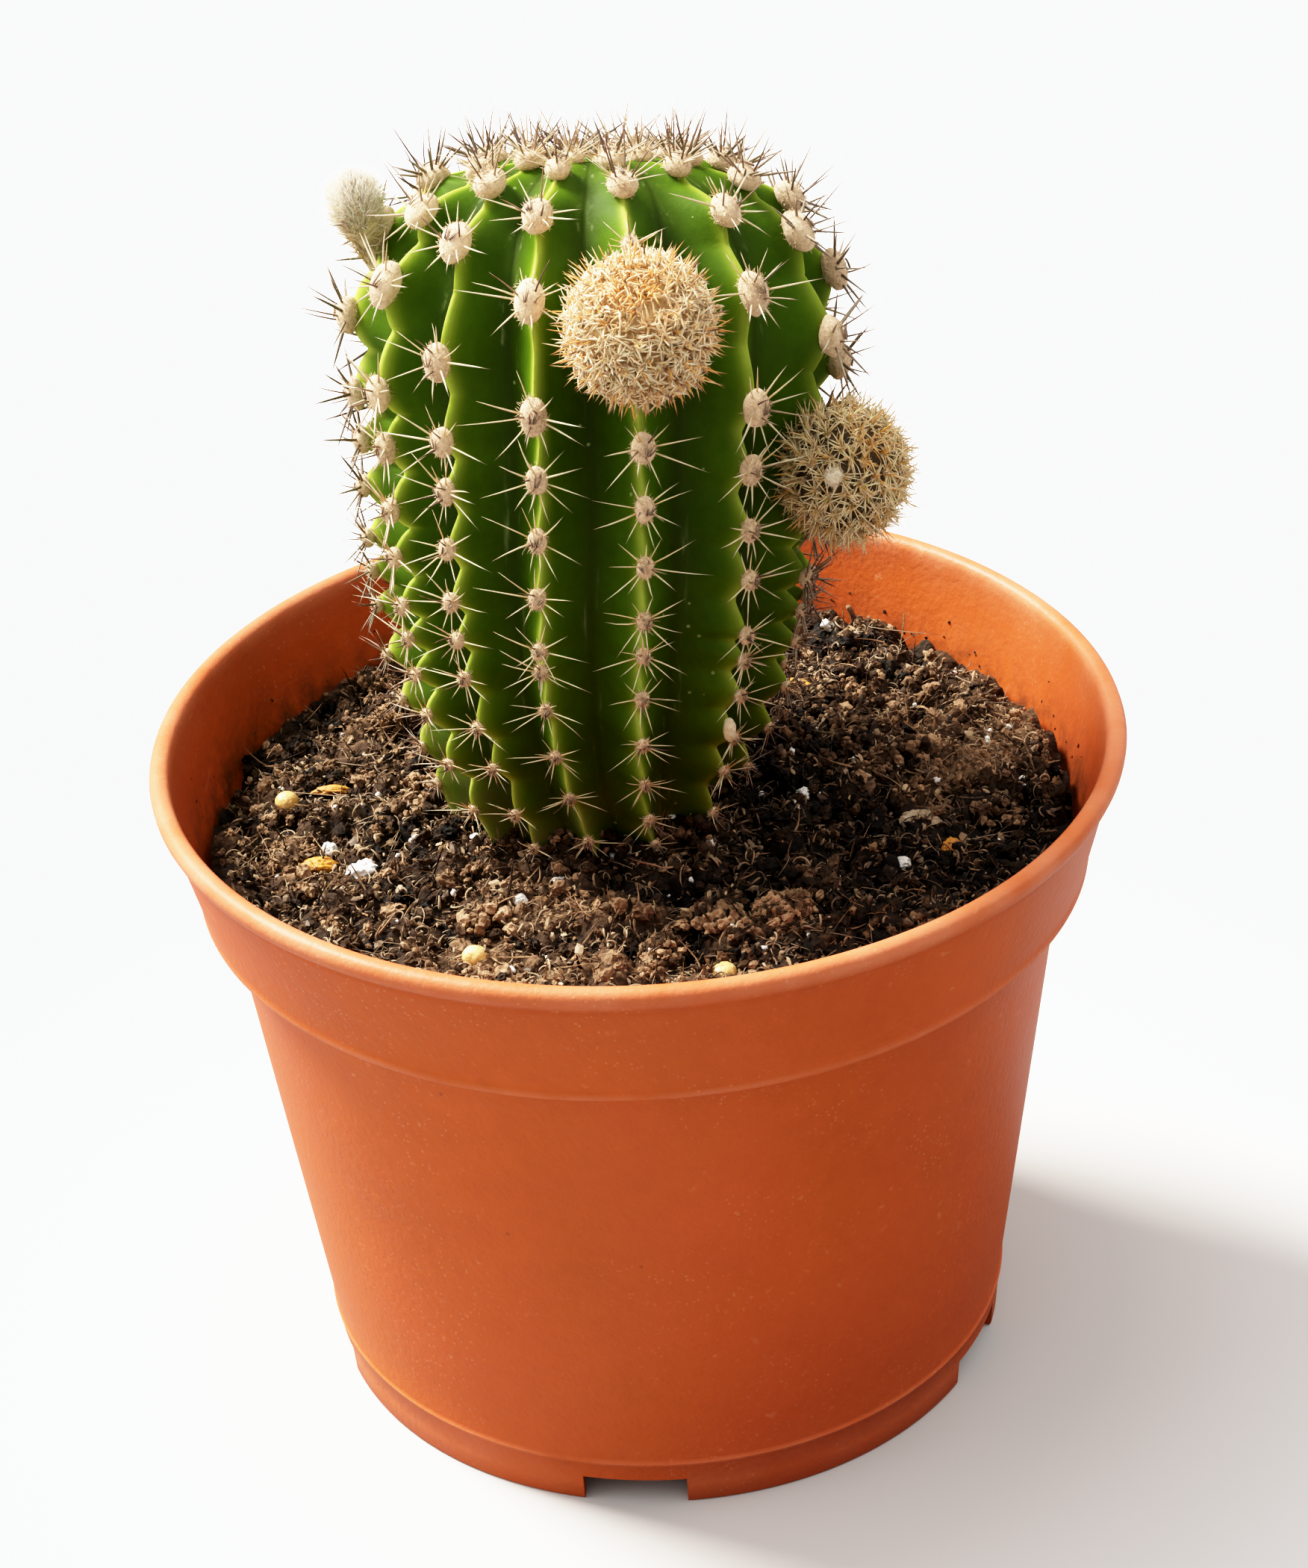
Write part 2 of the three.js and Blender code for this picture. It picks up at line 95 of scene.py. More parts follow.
# heights of the areoles above the soil line, then the crest radii of those on the crown
AREOLES_ODD = [5, 11.8, 17.8, 23, 27.6, 30.8, 36.6, 42.5, 49, 56, 67, 74.7]
AREOLES_EVEN = [3, 7.5, 13.7, 19.5, 25.1, 29.9, 33.9, 40.2, 46.1, 52.4, 61, 72]
CROWN_ODD = [14.5, 8.5]
CROWN_EVEN = [18.2, 11.5, 5]
# for each rib: how far it is parted into round lobes, how light its crest is, how brown its spines are
LOBED = [1, 0.85, 0.3, 0, 0, 0.2, 0.4, 0.6, 0, 0, 0, 0, 0.6, 1]
# each crest's lightness is its own tone with painted light: brighter on the sunlit ribs at the left, dimmer
# on the shaded ribs at the right
CREST_TONE_AND_PAINTED_LIGHT = [1.2, 1.3, 1.3, 1.1, 0.95, 0.8, 0.55, 0.45, 0.5, 0.6, 0.7, 0.8, 1, 1.1]
WEATHERED = [0.85, 0.35, 0, 0, 0, 0.12, 0.8, 0.85, 0.7, 0.7, 0.75, 0.9, 0.95, 0.9]
FACING_RIBS = (2, 3, 4, 5)  # their cushions stand out further
CUSHION_HAIRS = 150
FRONT_RIB = 4  # the one that carries the front offset
PUP_COVERED = (58, 70)  # heights on the front rib that the offset covers
CROWN_START = 45  # rows above the widest one


def star(count, lean, length, thick, **changes):
    """One kind of an offset's spines, a count on each wart. They grow down to an angle from its apex."""
    usual = {
        "gold": 0.1, "dark": 0.0, "dark_from": 1.0, "sunk": 0.0, "spread": 0.3, "droop": 0.0, "curl": 0.3,
        "blunt": 0.3, "down_to": 180,
    }
    return SimpleNamespace(count=count, lean=lean, length=length, thick=thick, **{**usual, **changes})


# the radius is that of the whole offset, the skin is a share of it, and young is an angle from the apex
PUP_FRONT = SimpleNamespace(
    centre=(3.1, -20.4, 148.7), radius=8.6, tall=1.0, apex=(0.02, -0.6, 0.8), seed=51, warts=240,
    scatter=0.035, skin=0.85, skin_finish="offset_fleece", wart=0.009, cushion=0.5, young=46, rim_gold=0.2,
    stars=[
        star(14, (0.2, 1.0), 2.4, 0.15, gold=0.06, sunk=0.3, droop=-0.85, curl=0.5),
        star(9, (0.3, 3.0), 1.3, 0.1, spread=0.5, blunt=0.25, down_to=100),
        star(2, (1.4, 5.0), 3.2, 0.1, gold=1.0, dark=1.0, dark_from=0.85, curl=0.25, blunt=0.5),
        star(
            1, (2.5, 9.0), 1.9, 0.12, gold=0.0, dark=1.2, dark_from=0.0, sunk=0.5, spread=0.2, curl=0.1,
            blunt=0.7,
        ),
    ],
)
PUP_RIGHT = SimpleNamespace(
    centre=(26.3, -4.9, 122.1), radius=7.7, tall=1.13, apex=(0.435, -0.7, 0.57), seed=52, warts=140,
    scatter=0.03, skin=0.82, skin_finish="offset_skin", wart=0.012, cushion=0.45, young=26, rim_gold=0.3,
    stars=[
        star(17, (0.3, 1.6), 2.9, 0.105, sunk=0.3, spread=0.16, droop=-0.9, curl=0.5),
        star(5, (0.6, 3.0), 2.6, 0.08, dark=0.3, dark_from=0.0, spread=0.4, droop=-0.2, curl=0.5),
        star(3, (1.0, 6.0), 3.2, 0.1, gold=0.7, dark=1.0, dark_from=0.66, sunk=0.1, spread=0.22, blunt=0.4),
    ],
)
TUFT = {"centre": (24.4, -13.2, 125.6), "radius": 1.05, "hairs": 700}

BUD_FOOT = np.array((-28.2, 14.2, 144.6))
BUD_TIP = np.array((-29.9, 13.5, 155.7))
BUD_OUTLINE = [
    (0.6, -1.6), (0.75, 0), (1.05, 1.5), (1.7, 3.1), (2.35, 5), (2.6, 6.8), (2.3, 8.3), (1.3, 9.5),
    (0.02, 9.9),
]
BUD_ROWS = BUD_SIDES = 48
BUD_HAIRS = 4600

SOIL_AT_WALL = 74.3
SOIL_TILT = 0.016  # the bed stands higher towards the right
SOIL_MOUND = {"height": 3.8, "spread": 27}
SOIL_RIPPLE = {"height": 0.55, "along_x": 0.31, "along_y": 0.27, "across": 0.6}
SOIL_RADIUS = 53.6
BED_SIDES = 620
BED_RINGS = 112
BED_WALL = [(SOIL_RADIUS - 0.1, 71.5), (52.7, 70), (50.4, 67.5), (42.2, 6.6), (41.4, 6.1)]
BED_HOLLOW = {"radius": 15.5, "floor": 64, "middle": 66.0}  # where the stem stands in it
PAINTED_SHADOW_AND_LIGHT_PATCHES = [  # place, radius and strength of painted shadow patches, or of painted light patches where the strength is negative
    (28, -18, 17, 0.34), (46, -11, 9, 0.33), (3, -17, 8, 0.2), (17, -4, 9, 0.3), (23, 13, 8, 0.25),
    (39, 9, 12, -0.5), (-34, 10, 8, -0.18), (-11, -36, 17, -0.25), (-44, -9, 6, -0.15),
]
STEM_FOOT = (-8.0, 3.6)
STEM_CLEARANCE = 14.4
SOWN = {"heaps": 115, "flakes": 520, "shreds": 5200, "curls": 3200, "fibres": 1500, "pale": 55, "wall": 60}
WALL_SPECKS = np.array([  # azimuth, height and size of the largest crumbs on the wall
    (140, 75.2, 0.25), (142, 77, 0.3), (109, 76.4, 0.2), (105, 76.2, 0.22), (95, 77.2, 0.25),
    (124, 75, 0.22), (-95, 80, 0.22), (-93.5, 77.5, 0.25), (134.5, 75.4, 0.22), (131.5, 76.5, 0.18),
])
TWIG_BENT = np.array([(30.8, 42.6, 72), (30.6, 42.4, 76.5), (29.2, 42.2, 79.2)])
TWIG_LENGTH = 7.5
TWIG_RADIUS = 0.62

# ---- camera, light and floor; headings are counted from +X towards +Y

CAMERA_AT = (0.0, -0.41403, 0.32314)
CAMERA_HEADING = math.radians(89.748)
CAMERA_TILT = math.radians(30.61)
CAMERA_ROLL = math.radians(-3.3)
CAMERA_LENS = 88.887  # mm on a 36 mm long side

SUN_HEADING = math.radians(-32)  # where the sunlight travels
SUN_HEIGHT = math.radians(50)
SUN_SPREAD = math.radians(21)
SUN_STRENGTH = 15.0
PANELS = [  # name, place, size and strength
    ("left_window", (-1.3, -0.1, 0.5), 1.0, 7), ("right_card", (0.75, 0.05, 0.95), 0.4, 3.5),
]
PANELS_FACE = Vector((0, 0, 0.09))
SKY = {"horizon": 0.1, "zenith": 1.25, "left": 0.6, "window": 0.9}
FILM = {"black": 0.003, "white": 3.0, "gain": 1.65, "contrast": 1.3, "paper": 0.97}
FILM_STEPS = (0, 1, 0.01, 0.025, 0.05, 0.08, 0.12, 0.17, 0.23, 0.3, 0.4, 0.6)
FLOOR_HALF = 3.0


def linked(name, data):
    thing = bpy.data.objects.new(name, data)
    bpy.context.scene.collection.objects.link(thing)
    return thing


def falling(heading, drop):
    """The direction with this heading that goes down at this angle."""
    return Vector((math.cos(heading) * math.cos(drop), math.sin(heading) * math.cos(drop), -math.sin(drop)))


def aim(thing, direction, roll=0.0):
    thing.rotation_mode = "QUATERNION"
    thing.rotation_quaternion = direction.to_track_quat("-Z", "Y") @ Quaternion((0, 0, 1), roll)


def lamp(name, kind, direction, colour, energy):
    made = linked(name, bpy.data.lights.new(name, kind))
    aim(made, direction)
    made.data.color = colour
    made.data.energy = energy
    return made


def light_and_camera():
    camera = linked("camera", bpy.data.cameras.new("camera"))
    camera.location = CAMERA_AT
    aim(camera, falling(CAMERA_HEADING, CAMERA_TILT), CAMERA_ROLL)
    camera.data.lens = CAMERA_LENS
    camera.data.clip_start = 0.02
    camera.data.clip_end = 20
    bpy.context.scene.camera = camera

    sun = lamp("sun", "SUN", falling(SUN_HEADING, SUN_HEIGHT), (1.0, 0.95, 0.87), SUN_STRENGTH)
    sun.data.angle = SUN_SPREAD
    for name, place, size, energy in PANELS:
        panel = lamp(name, "AREA", PANELS_FACE - Vector(place), (1.0, 0.98, 0.96), energy)
        panel.location = place
        panel.data.size = size

    world = bpy.data.worlds.new("studio")
    world.use_nodes = True
    nodes = Nodes(world.node_tree)
    x, y, z = nodes.add(
        "ShaderNodeSeparateXYZ", {"Vector": nodes.add("ShaderNodeTexCoord").outputs["Generated"]}
    ).outputs
    height = nodes.remap(z, 0.0, 0.9, SKY["horizon"], SKY["zenith"])
    left = nodes.remap(x, -0.1, -0.9, 0.0, SKY["left"])
    behind = nodes.math("MULTIPLY_ADD", x, 0.62, nodes.math("MULTIPLY", y, 0.77))
    window = nodes.remap(behind, 0.8, 0.96, 0.0, SKY["window"])
    sky = world.node_tree.nodes["Background"].inputs
    nodes.feed(sky["Strength"], nodes.math("ADD", nodes.math("ADD", height, left), window))
    nodes.feed(sky["Color"], (1.0, 0.98, 0.955))
    bpy.context.scene.world = world
    develop(bpy.context.scene.view_settings)


def develop(view):
    """A film-like tone curve: more contrast in the shadows and soft highlights."""
    view.view_transform = "Standard"
    view.use_curve_mapping = True
    mapping = view.curve_mapping
    mapping.black_level = (FILM["black"],) * 3
    mapping.white_level = (FILM["white"],) * 3
    curve = mapping.curves[3]
    for share in FILM_STEPS:
        light = FILM["gain"] * (share * FILM["white"]) ** FILM["contrast"]
        shown = FILM["paper"] * (1 - math.exp(-light / FILM["paper"]))
        if share in (0, 1):
            curve.points[share].location = (share, shown)
        else:
            curve.points.new(share, shown)
    mapping.update()


# ---- shader helpers


class Nodes:
    """Adds and joins the nodes of one shader tree. Colours are three numbers."""

    def __init__(self, tree):
        self.tree = tree

    def add(self, kind, inputs=None, **settings):
        node = self.tree.nodes.new(kind)
        for setting, value in settings.items():
            setattr(node, setting, value)
        for socket, value in (inputs or {}).items():
            self.feed(node.inputs[socket], value)
        return node

    def feed(self, socket, value):
        if isinstance(value, bpy.types.NodeSocket):
            self.tree.links.new(value, socket)
        else:
            socket.default_value = (*value, 1) if socket.type == "RGBA" else value

    def place(self, **mapping):
        """The object's own coordinates, turned or stretched by these values."""
        place = self.add("ShaderNodeTexCoord").outputs["Object"]
        return self.add("ShaderNodeMapping", {"Vector": place, **mapping}).outputs[0] if mapping else place

    def noise(self, scale, detail=3.0, roughness=0.55, vector=None):
        inputs = {"Vector": vector or self.place(), "Scale": scale, "Detail": detail, "Roughness": roughness}
        return self.add("ShaderNodeTexNoise", inputs).outputs["Fac"]

    def mark(self, name):
        return self.add("ShaderNodeAttribute", attribute_name=name).outputs["Fac"]

    def math(self, operation, first, second=0.0, third=0.0):
        return self.add("ShaderNodeMath", {0: first, 1: second, 2: third}, operation=operation).outputs[0]

    def remap(self, value, low, high, to_low=0.0, to_high=1.0):
        inputs = {"Value": value, "From Min": low, "From Max": high, "To Min": to_low, "To Max": to_high}
        return self.add("ShaderNodeMapRange", inputs).outputs[0]

    def patches(self, low, high, *noise, to=(0.0, 1.0)):
        """Noise with more contrast: low and high become the ends of the range."""
        return self.remap(self.noise(*noise), low, high, *to)

    def mix(self, share, first, second):
        return self.add("ShaderNodeMix", {0: share, 6: first, 7: second}, data_type="RGBA").outputs[2]

    def tint(self, body, colour, strength, *masks):
        """The body with another colour over it, as strong as this where all the masks are 1."""
        share = strength
        for mask in masks:
            share = self.math("MULTIPLY", mask, share)
        return self.mix(share, body, colour)

    def bump(self, height, strength, distance=0.0004):
        inputs = {"Height": height, "Strength": strength, "Distance": distance}
        return self.add("ShaderNodeBump", inputs).outputs["Normal"]

    def group(self, tree, **inputs):
        node = self.add("ShaderNodeGroup", node_tree=tree)
        for socket, value in inputs.items():
            self.feed(node.inputs[socket.replace("_", " ")], value)
        return node.outputs[0]


FINISH = {}  # materials by name


class Finish(Nodes):
    """A material and its shader, with plain values set on the shader's own sockets."""

    def __init__(self, name, **values):
        FINISH[name] = bpy.data.materials.new(name)
        FINISH[name].use_nodes = True
        super().__init__(FINISH[name].node_tree)
        self.shader = self.tree.nodes["Principled BSDF"].inputs
        for socket, value in values.items():
            self.shader[socket.replace("_", " ")].default_value = value

    def paint(self, colour, normal=None, roughness=None):
        """Gives the shader what changes over the surface."""
        for socket, value in (("Base Color", colour), ("Normal", normal), ("Roughness", roughness)):
            if value is not None:
                self.feed(self.shader[socket], value)


# ---- number helpers


def lattice(cell, seed):
    """Repeatable random numbers from 0 to 1 for whole-number places."""
    mixed = cell[..., 0] * 374761393 + cell[..., 1] * 668265263 + cell[..., 2] * 1440662683 + seed * 9746347
    mixed = mixed & 0x7FFFFFFF
    mixed = ((mixed ^ (mixed >> 13)) * 1274126177) & 0x7FFFFFFF
    mixed = mixed ^ (mixed >> 16)
    return (mixed & 0xFFFFF) / 0xFFFFF


def lumpy(points, size, seed=0):
    """Smooth noise from -1 to 1 with lumps of about this size."""
    scaled = np.asarray(points, float) / size + 100.5
    cell = np.floor(scaled).astype(np.int64)
    share = scaled - cell
    share = share * share * (3 - 2 * share)
    total = 0
    for corner in itertools.product((0, 1), repeat=3):
        weight = np.prod(np.where(corner, share, 1 - share), axis=-1)
        total = total + weight * lattice(cell + np.array(corner), seed)
    return 2 * total - 1


def crumbly(flat_points, size, seed=0):
    """Round bumps packed at random on a plane: each place's height on its bump, 0 to 1."""
    scaled = np.column_stack([flat_points / size + 50, np.zeros(len(flat_points))])
    home = np.floor(scaled).astype(np.int64)
    height = np.zeros(len(scaled))
    for dx, dy in itertools.product((-1, 0, 1), repeat=2):
        cell = home + np.array((dx, dy, 0))
        middle = cell[:, :2] + np.column_stack([lattice(cell, seed), lattice(cell, seed + 1)])
        radius = 0.45 + 0.5 * lattice(cell, seed + 2)
        away = np.linalg.norm(scaled[:, :2] - middle, axis=1) / radius
        top = (0.5 + 0.5 * lattice(cell, seed + 3)) * np.sqrt(np.clip(1 - away**2, 0, None))
        height = np.maximum(height, top)
    return height


def unit(vectors):
    vectors = np.asarray(vectors, float)
    return vectors / np.maximum(np.linalg.norm(vectors, axis=-1, keepdims=True), 1e-12)


def frames_of(directions):
    """Two directions square to each of these."""
    directions = unit(directions)
    steep = np.abs(directions[:, 2:]) > 0.9
    helper = np.where(steep, (1.0, 0.0, 0.0), (0.0, 0.0, 1.0))
    across = unit(np.cross(helper, directions))
    return across, np.cross(directions, across)


def stray(rng, scale, count):
    """Random steps in all directions."""
    return rng.normal(scale=scale, size=(count, 3))


def random_turns(rng, count):
    """Rotation matrices in all directions."""
    w, x, y, z = unit(rng.normal(size=(count, 4))).T
    return np.stack([
        np.stack([1 - 2 * (y * y + z * z), 2 * (x * y - w * z), 2 * (x * z + w * y)], -1),
        np.stack([2 * (x * y + w * z), 1 - 2 * (x * x + z * z), 2 * (y * z - w * x)], -1),
        np.stack([2 * (x * z - w * y), 2 * (y * z + w * x), 1 - 2 * (x * x + y * y)], -1),
    ], -2)


def outward(azimuth):
    angle = np.radians(azimuth)
    return np.stack([np.sin(angle), -np.cos(angle), np.zeros_like(angle)], -1)


def spline_points(points, count):
    """Evenly spaced places on a smooth curve through the points."""
    points = np.array(points, float)
    last = len(points) - 1
    position = np.linspace(0, last, 4000)
    index = np.minimum(position.astype(int), last - 1)
    weight = (position - index)[:, None]
    p0 = points[np.maximum(index - 1, 0)]
    p1 = points[index]
    p2 = points[index + 1]
    p3 = points[np.minimum(index + 2, last)]
    v0 = (p2 - p0) / 2
    v1 = (p3 - p1) / 2
    dense = (
        (2 * p1 - 2 * p2 + v0 + v1) * weight**3 + (-3 * p1 + 3 * p2 - 2 * v0 - v1) * weight**2
        + v0 * weight + p1
    )
    run = np.concatenate([[0], np.cumsum(np.linalg.norm(np.diff(dense, axis=0), axis=1))])
    wanted = np.linspace(0, run[-1], count)
    return np.column_stack([np.interp(wanted, run, dense[:, 0]), np.interp(wanted, run, dense[:, 1])])


# ---- mesh helpers


class Piece:
    """Collects points in millimetres, faces and named marks on the points, and becomes one mesh."""

    def __init__(self, *marks, seat=None):
        self.points = []
        self.faces = {3: [], 4: []}
        self.marks = {mark: [] for mark in marks}
        self.count = 0
        self.seat = seat

    def add(self, points, *face_sets, **marks):
        """Takes the points of a shape, or of many equal ones, and marks that spread over them."""
        for mark, values in self.marks.items():
            values.append(np.broadcast_to(marks[mark], points.shape[:-1]).ravel())
        points = points.reshape(-1, 3)
        for faces in face_sets:
            self.faces[faces.shape[1]].append(faces + self.count)
        self.points.append(self.seat(points) if self.seat else points)
        self.count += len(points)

    def build(self, name, finish, replaces=(), smooth=True):
        mesh = bpy.data.meshes.new(name)
        sets = [np.concatenate(faces) for faces in self.faces.values() if faces]
        loops = np.concatenate([faces.ravel() for faces in sets]).astype(np.int32)
        sizes = np.concatenate([np.full(len(faces), faces.shape[1]) for faces in sets])
        starts = np.concatenate([[0], np.cumsum(sizes)[:-1]]).astype(np.int32)
        mesh.vertices.add(self.count)
        mesh.vertices.foreach_set("co", (np.concatenate(self.points) * MM).astype(np.float32).ravel())
        mesh.loops.add(len(loops))
        mesh.loops.foreach_set("vertex_index", loops)
        mesh.polygons.add(len(starts))
        mesh.polygons.foreach_set("loop_start", starts)
        mesh.polygons.foreach_set("use_smooth", np.full(len(starts), smooth))
        mesh.update(calc_edges=True)
        for mark, values in self.marks.items():
            layer = mesh.attributes.new(mark, "FLOAT", "POINT")
            layer.data.foreach_set("value", np.concatenate(values).astype(np.float32))
        mesh.materials.append(FINISH[finish])
        made = linked(name, mesh)
        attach(made, "root")
        if replaces:
            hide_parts(*replaces)
        return made


def single(name, finish, slot, shape, replaces=(), smooth=True, seat=None, **marks):
    """A piece of one shape, given as its points and face sets."""
    piece = Piece(*marks, seat=seat)
    piece.add(*shape, **marks)
    return piece.build(name, finish, replaces, smooth)


def seat(foot, axis, tall=1.0):
    """A function that takes an upright shape from the origin to this foot and axis."""
    axis = unit(np.array([axis]))
    across, other = frames_of(axis)
    turn = np.stack([across[0], other[0], axis[0]], axis=1)
    return lambda points: points @ turn.T * (1, 1, tall) + foot


def grid_faces(rows, columns):
    """The quads between rings of points."""
    row, column = np.meshgrid(np.arange(rows - 1), np.arange(columns), indexing="ij")
    low = (row * columns + column).ravel()
    beside = (row * columns + (column + 1) % columns).ravel()
    return np.column_stack([low, beside, beside + columns, low + columns])


def fan_faces(hub, ring, turned=False):
    following = np.roll(ring, -1)
    first, second = (following, ring) if turned else (ring, following)
    return np.column_stack([np.full(len(ring), hub), first, second])


def lathe(profile, sides):
    """Rings of points from radii and heights."""
    profile = np.array(profile, float)
    spokes = outward(360 * np.arange(sides) / sides)
    return profile[:, None, :1] * spokes[None] + profile[:, None, 1:] * np.array((0, 0, 1.0))


def capped(rings, first, last, inside_out=False):
    """Rings of points closed by a point at each end: all the points, the quads and the two fans."""
    rows, columns = rings.shape[:2]
    hub = rows * columns
    quads = grid_faces(rows, columns)
    return (
        np.concatenate([rings.reshape(-1, 3), [first], [last]]),
        quads[:, ::-1] if inside_out else quads,
        fan_faces(hub, np.arange(columns), not inside_out),
        fan_faces(hub + 1, hub - columns + np.arange(columns), inside_out),
    )


def capped_mark(rings, values, ends=(0, 0)):
    """A mark for capped rings: these values, which spread over the rings, and one for each end."""
    return np.append(np.broadcast_to(values, rings.shape[:2]), ends)


ball_cache = {}


def ball(levels):
    """The points and faces of a unit ball of even triangles."""
    if levels not in ball_cache:
        work = bmesh.new()
        bmesh.ops.create_icosphere(work, subdivisions=levels, radius=1)
        points = np.array([vertex.co[:] for vertex in work.verts])
        faces = np.array([[vertex.index for vertex in face.verts] for face in work.faces])
        work.free()
        ball_cache[levels] = (points, faces)
    return ball_cache[levels]


def copies(shape, faces, turns, scales, places):
    """Many copies of a small shape, turned, scaled and placed: points for each, and faces."""
    made = np.einsum("nij,kj->nki", turns, shape) * scales[:, None, None] + places[:, None, :]
    shifted = faces[None] + (np.arange(len(places)) * len(shape))[:, None, None]
    return made, shifted.reshape(-1, faces.shape[1])


def strands(feet, directions, lengths, radii, bends, sides=4, steps=3, blunt=0.1):
    """Closed tapering strands: points for each, quads, triangles, and how far along each point is."""
    feet, directions = np.atleast_2d(feet), unit(np.atleast_2d(directions))
    count = len(feet)
    lengths, radii = np.broadcast_to(lengths, count), np.broadcast_to(radii, count)
    bends = np.broadcast_to(bends, (count, 3))
    across, other = frames_of(directions)
    shares = np.linspace(0, 1, steps + 1)[:-1]
    angles = TAU * np.arange(sides) / sides
    middles = (
        feet[:, None] + directions[:, None] * (lengths[:, None] * shares)[..., None]
        + bends[:, None] * (shares**2)[None, :, None]
    )
    widths = radii[:, None] * (blunt + (1 - blunt) * (1 - shares**1.6))
    spokes = across[:, None] * np.cos(angles)[None, :, None] + other[:, None] * np.sin(angles)[None, :, None]
    rings = middles[:, :, None] + spokes[:, None] * widths[:, :, None, None]
    tips = feet + directions * lengths[:, None] + bends
    points = np.concatenate([rings.reshape(count, -1, 3), tips[:, None]], axis=1)
    size = steps * sides + 1
    offsets = (np.arange(count) * size)[:, None, None]
    quads = (grid_faces(steps, sides)[None] + offsets).reshape(-1, 4)
    cap = fan_faces(size - 1, (steps - 1) * sides + np.arange(sides))
    under = np.array([(0, i + 1, i) for i in range(1, sides - 1)])
    triangles = (np.concatenate([cap, under])[None] + offsets).reshape(-1, 3)
    return points, quads, triangles, np.append(np.repeat(shares, sides), 1.0)


# ---- shared effects


def effect(recipe, name, output, **inputs):
    """A shader node group with these inputs, and one output made by the recipe."""
    tree = bpy.data.node_groups.new(name, "ShaderNodeTree")
    for socket, value in inputs.items():
        made = tree.interface.new_socket(
            name=socket.replace("_", " "), in_out="INPUT", socket_type="NodeSocketFloat"
        )
        made.default_value = value
    tree.interface.new_socket(name=output, in_out="OUTPUT", socket_type="NodeSocketFloat")
    nodes = Nodes(tree)
    given = list(nodes.add("NodeGroupInput").outputs)[:len(inputs)]
    nodes.add("NodeGroupOutput", {output: recipe(nodes, *given)})
    return tree


def mottled(nodes, coarse, fine, fine_share):
    """Uneven shade at two sizes, 0 to 1 with the middle at a half."""
    broad = nodes.noise(coarse, 4.0, 0.6)
    difference = nodes.math("SUBTRACT", nodes.noise(fine, 2.0, 0.5), broad)
    return nodes.math("MULTIPLY_ADD", difference, fine_share, broad)


def specked(nodes, scale, size, few):
    """Scattered spots: 1 on a spot and 0 elsewhere. Few is the share of cells without one."""
    cells = nodes.add("ShaderNodeTexVoronoi", {"Vector": nodes.place(), "Scale": scale}).outputs
    spot = nodes.math("LESS_THAN", cells["Distance"], size)
    return nodes.math("MULTIPLY", spot, nodes.math("GREATER_THAN", cells["Color"], few))


def grained(nodes, scale, waves):
    """A fine uneven surface as a height, 0 to 1."""
    fine = nodes.math("MULTIPLY", nodes.noise(scale, 3.0, 0.6), 0.4)
    return nodes.math("MULTIPLY_ADD", nodes.noise(waves, 2.0, 0.5), 0.6, fine)


def scratched(nodes, scale, where):
    """Short pale rubbed strokes in a few places, 0 to 0.5."""
    turned = nodes.place(Rotation=(0.5, 0.7, 0.3), Scale=(1.0, 0.22, 1.0))
    stroke = nodes.patches(0.66, 0.74, scale, 2.0, 0.5, turned)
    return nodes.math("MULTIPLY", stroke, nodes.patches(0.52, 0.7, where, to=(0.0, 0.5)))


mottle = effect(mottled, "mottle", "Shade", Coarse=60.0, Fine=900.0, Fine_Share=0.3)
specks = effect(specked, "specks", "Spot", Scale=500.0, Size=0.3, Few=0.8)
grain = effect(grained, "grain", "Height", Scale=1500.0, Waves=120.0)
scratches = effect(scratched, "scratches", "Stroke", Scale=600.0, Where=40.0)


# ---- finishes


def pot_plastic():
    nodes = Finish("terracotta_plastic", Specular_IOR_Level=0.2)
    shade = nodes.group(mottle, Coarse=28.0, Fine=420.0, Fine_Share=0.25)
    body = nodes.mix(nodes.remap(shade, 0.3, 0.7), (0.405, 0.075, 0.0125), (0.52, 0.102, 0.0195))
    body = nodes.tint(body, (0.54, 0.088, 0.03), 0.55, nodes.patches(0.4, 0.7, 16.0, 3.0, 0.6))
    # a pale rim, and painted light on the foot band, the edges and the sunlit inner wall
    body = nodes.tint(
        body, (0.64, 0.22, 0.122), 0.6, nodes.mark("edge"), nodes.patches(0.2, 0.6, 90.0, 3.0, 0.6)
    )
    pale = nodes.group(specks, Scale=1900.0, Size=0.34, Few=0.72)
    body = nodes.tint(body, (0.78, 0.36, 0.22), 0.2, pale, nodes.patches(0.48, 0.62, 45.0, 4.0, 0.7))
    body = nodes.tint(body, (0.74, 0.28, 0.14), 1.0, nodes.group(scratches, Scale=620.0, Where=55.0))
    body = nodes.tint(body, (0.2, 0.04, 0.015), 0.5, nodes.group(specks, Scale=330.0, Size=0.09, Few=0.88))
    body = nodes.tint(
        body, (0.09, 0.035, 0.016), 0.75, nodes.mark("dirt"), nodes.patches(0.4, 0.62, 300.0, 5.0, 0.7)
    )
    normal = nodes.bump(nodes.group(grain, Scale=1050.0, Waves=70.0), 0.6)
    nodes.paint(body, normal, nodes.remap(shade, 0.3, 0.7, 0.4, 0.55))


def peat():
    nodes = Finish("peat", Specular_IOR_Level=0.15)
    shade = nodes.group(mottle, Coarse=260.0, Fine=1500.0, Fine_Share=0.45)
    level = nodes.math("ADD", nodes.mark("shade"), nodes.remap(shade, 0.3, 0.7, -0.25, 0.25))
    dark = nodes.mix(nodes.remap(level, 0.0, 0.55), (0.004, 0.0025, 0.0016), (0.06, 0.033, 0.0175))
    body = nodes.mix(nodes.remap(level, 0.5, 1.1), dark, (0.37, 0.228, 0.133))
    normal = nodes.bump(nodes.group(grain, Scale=3200.0, Waves=900.0), 0.8, 0.0005)
    nodes.paint(body, normal, nodes.remap(level, 0.0, 1.0, 0.7, 0.95))


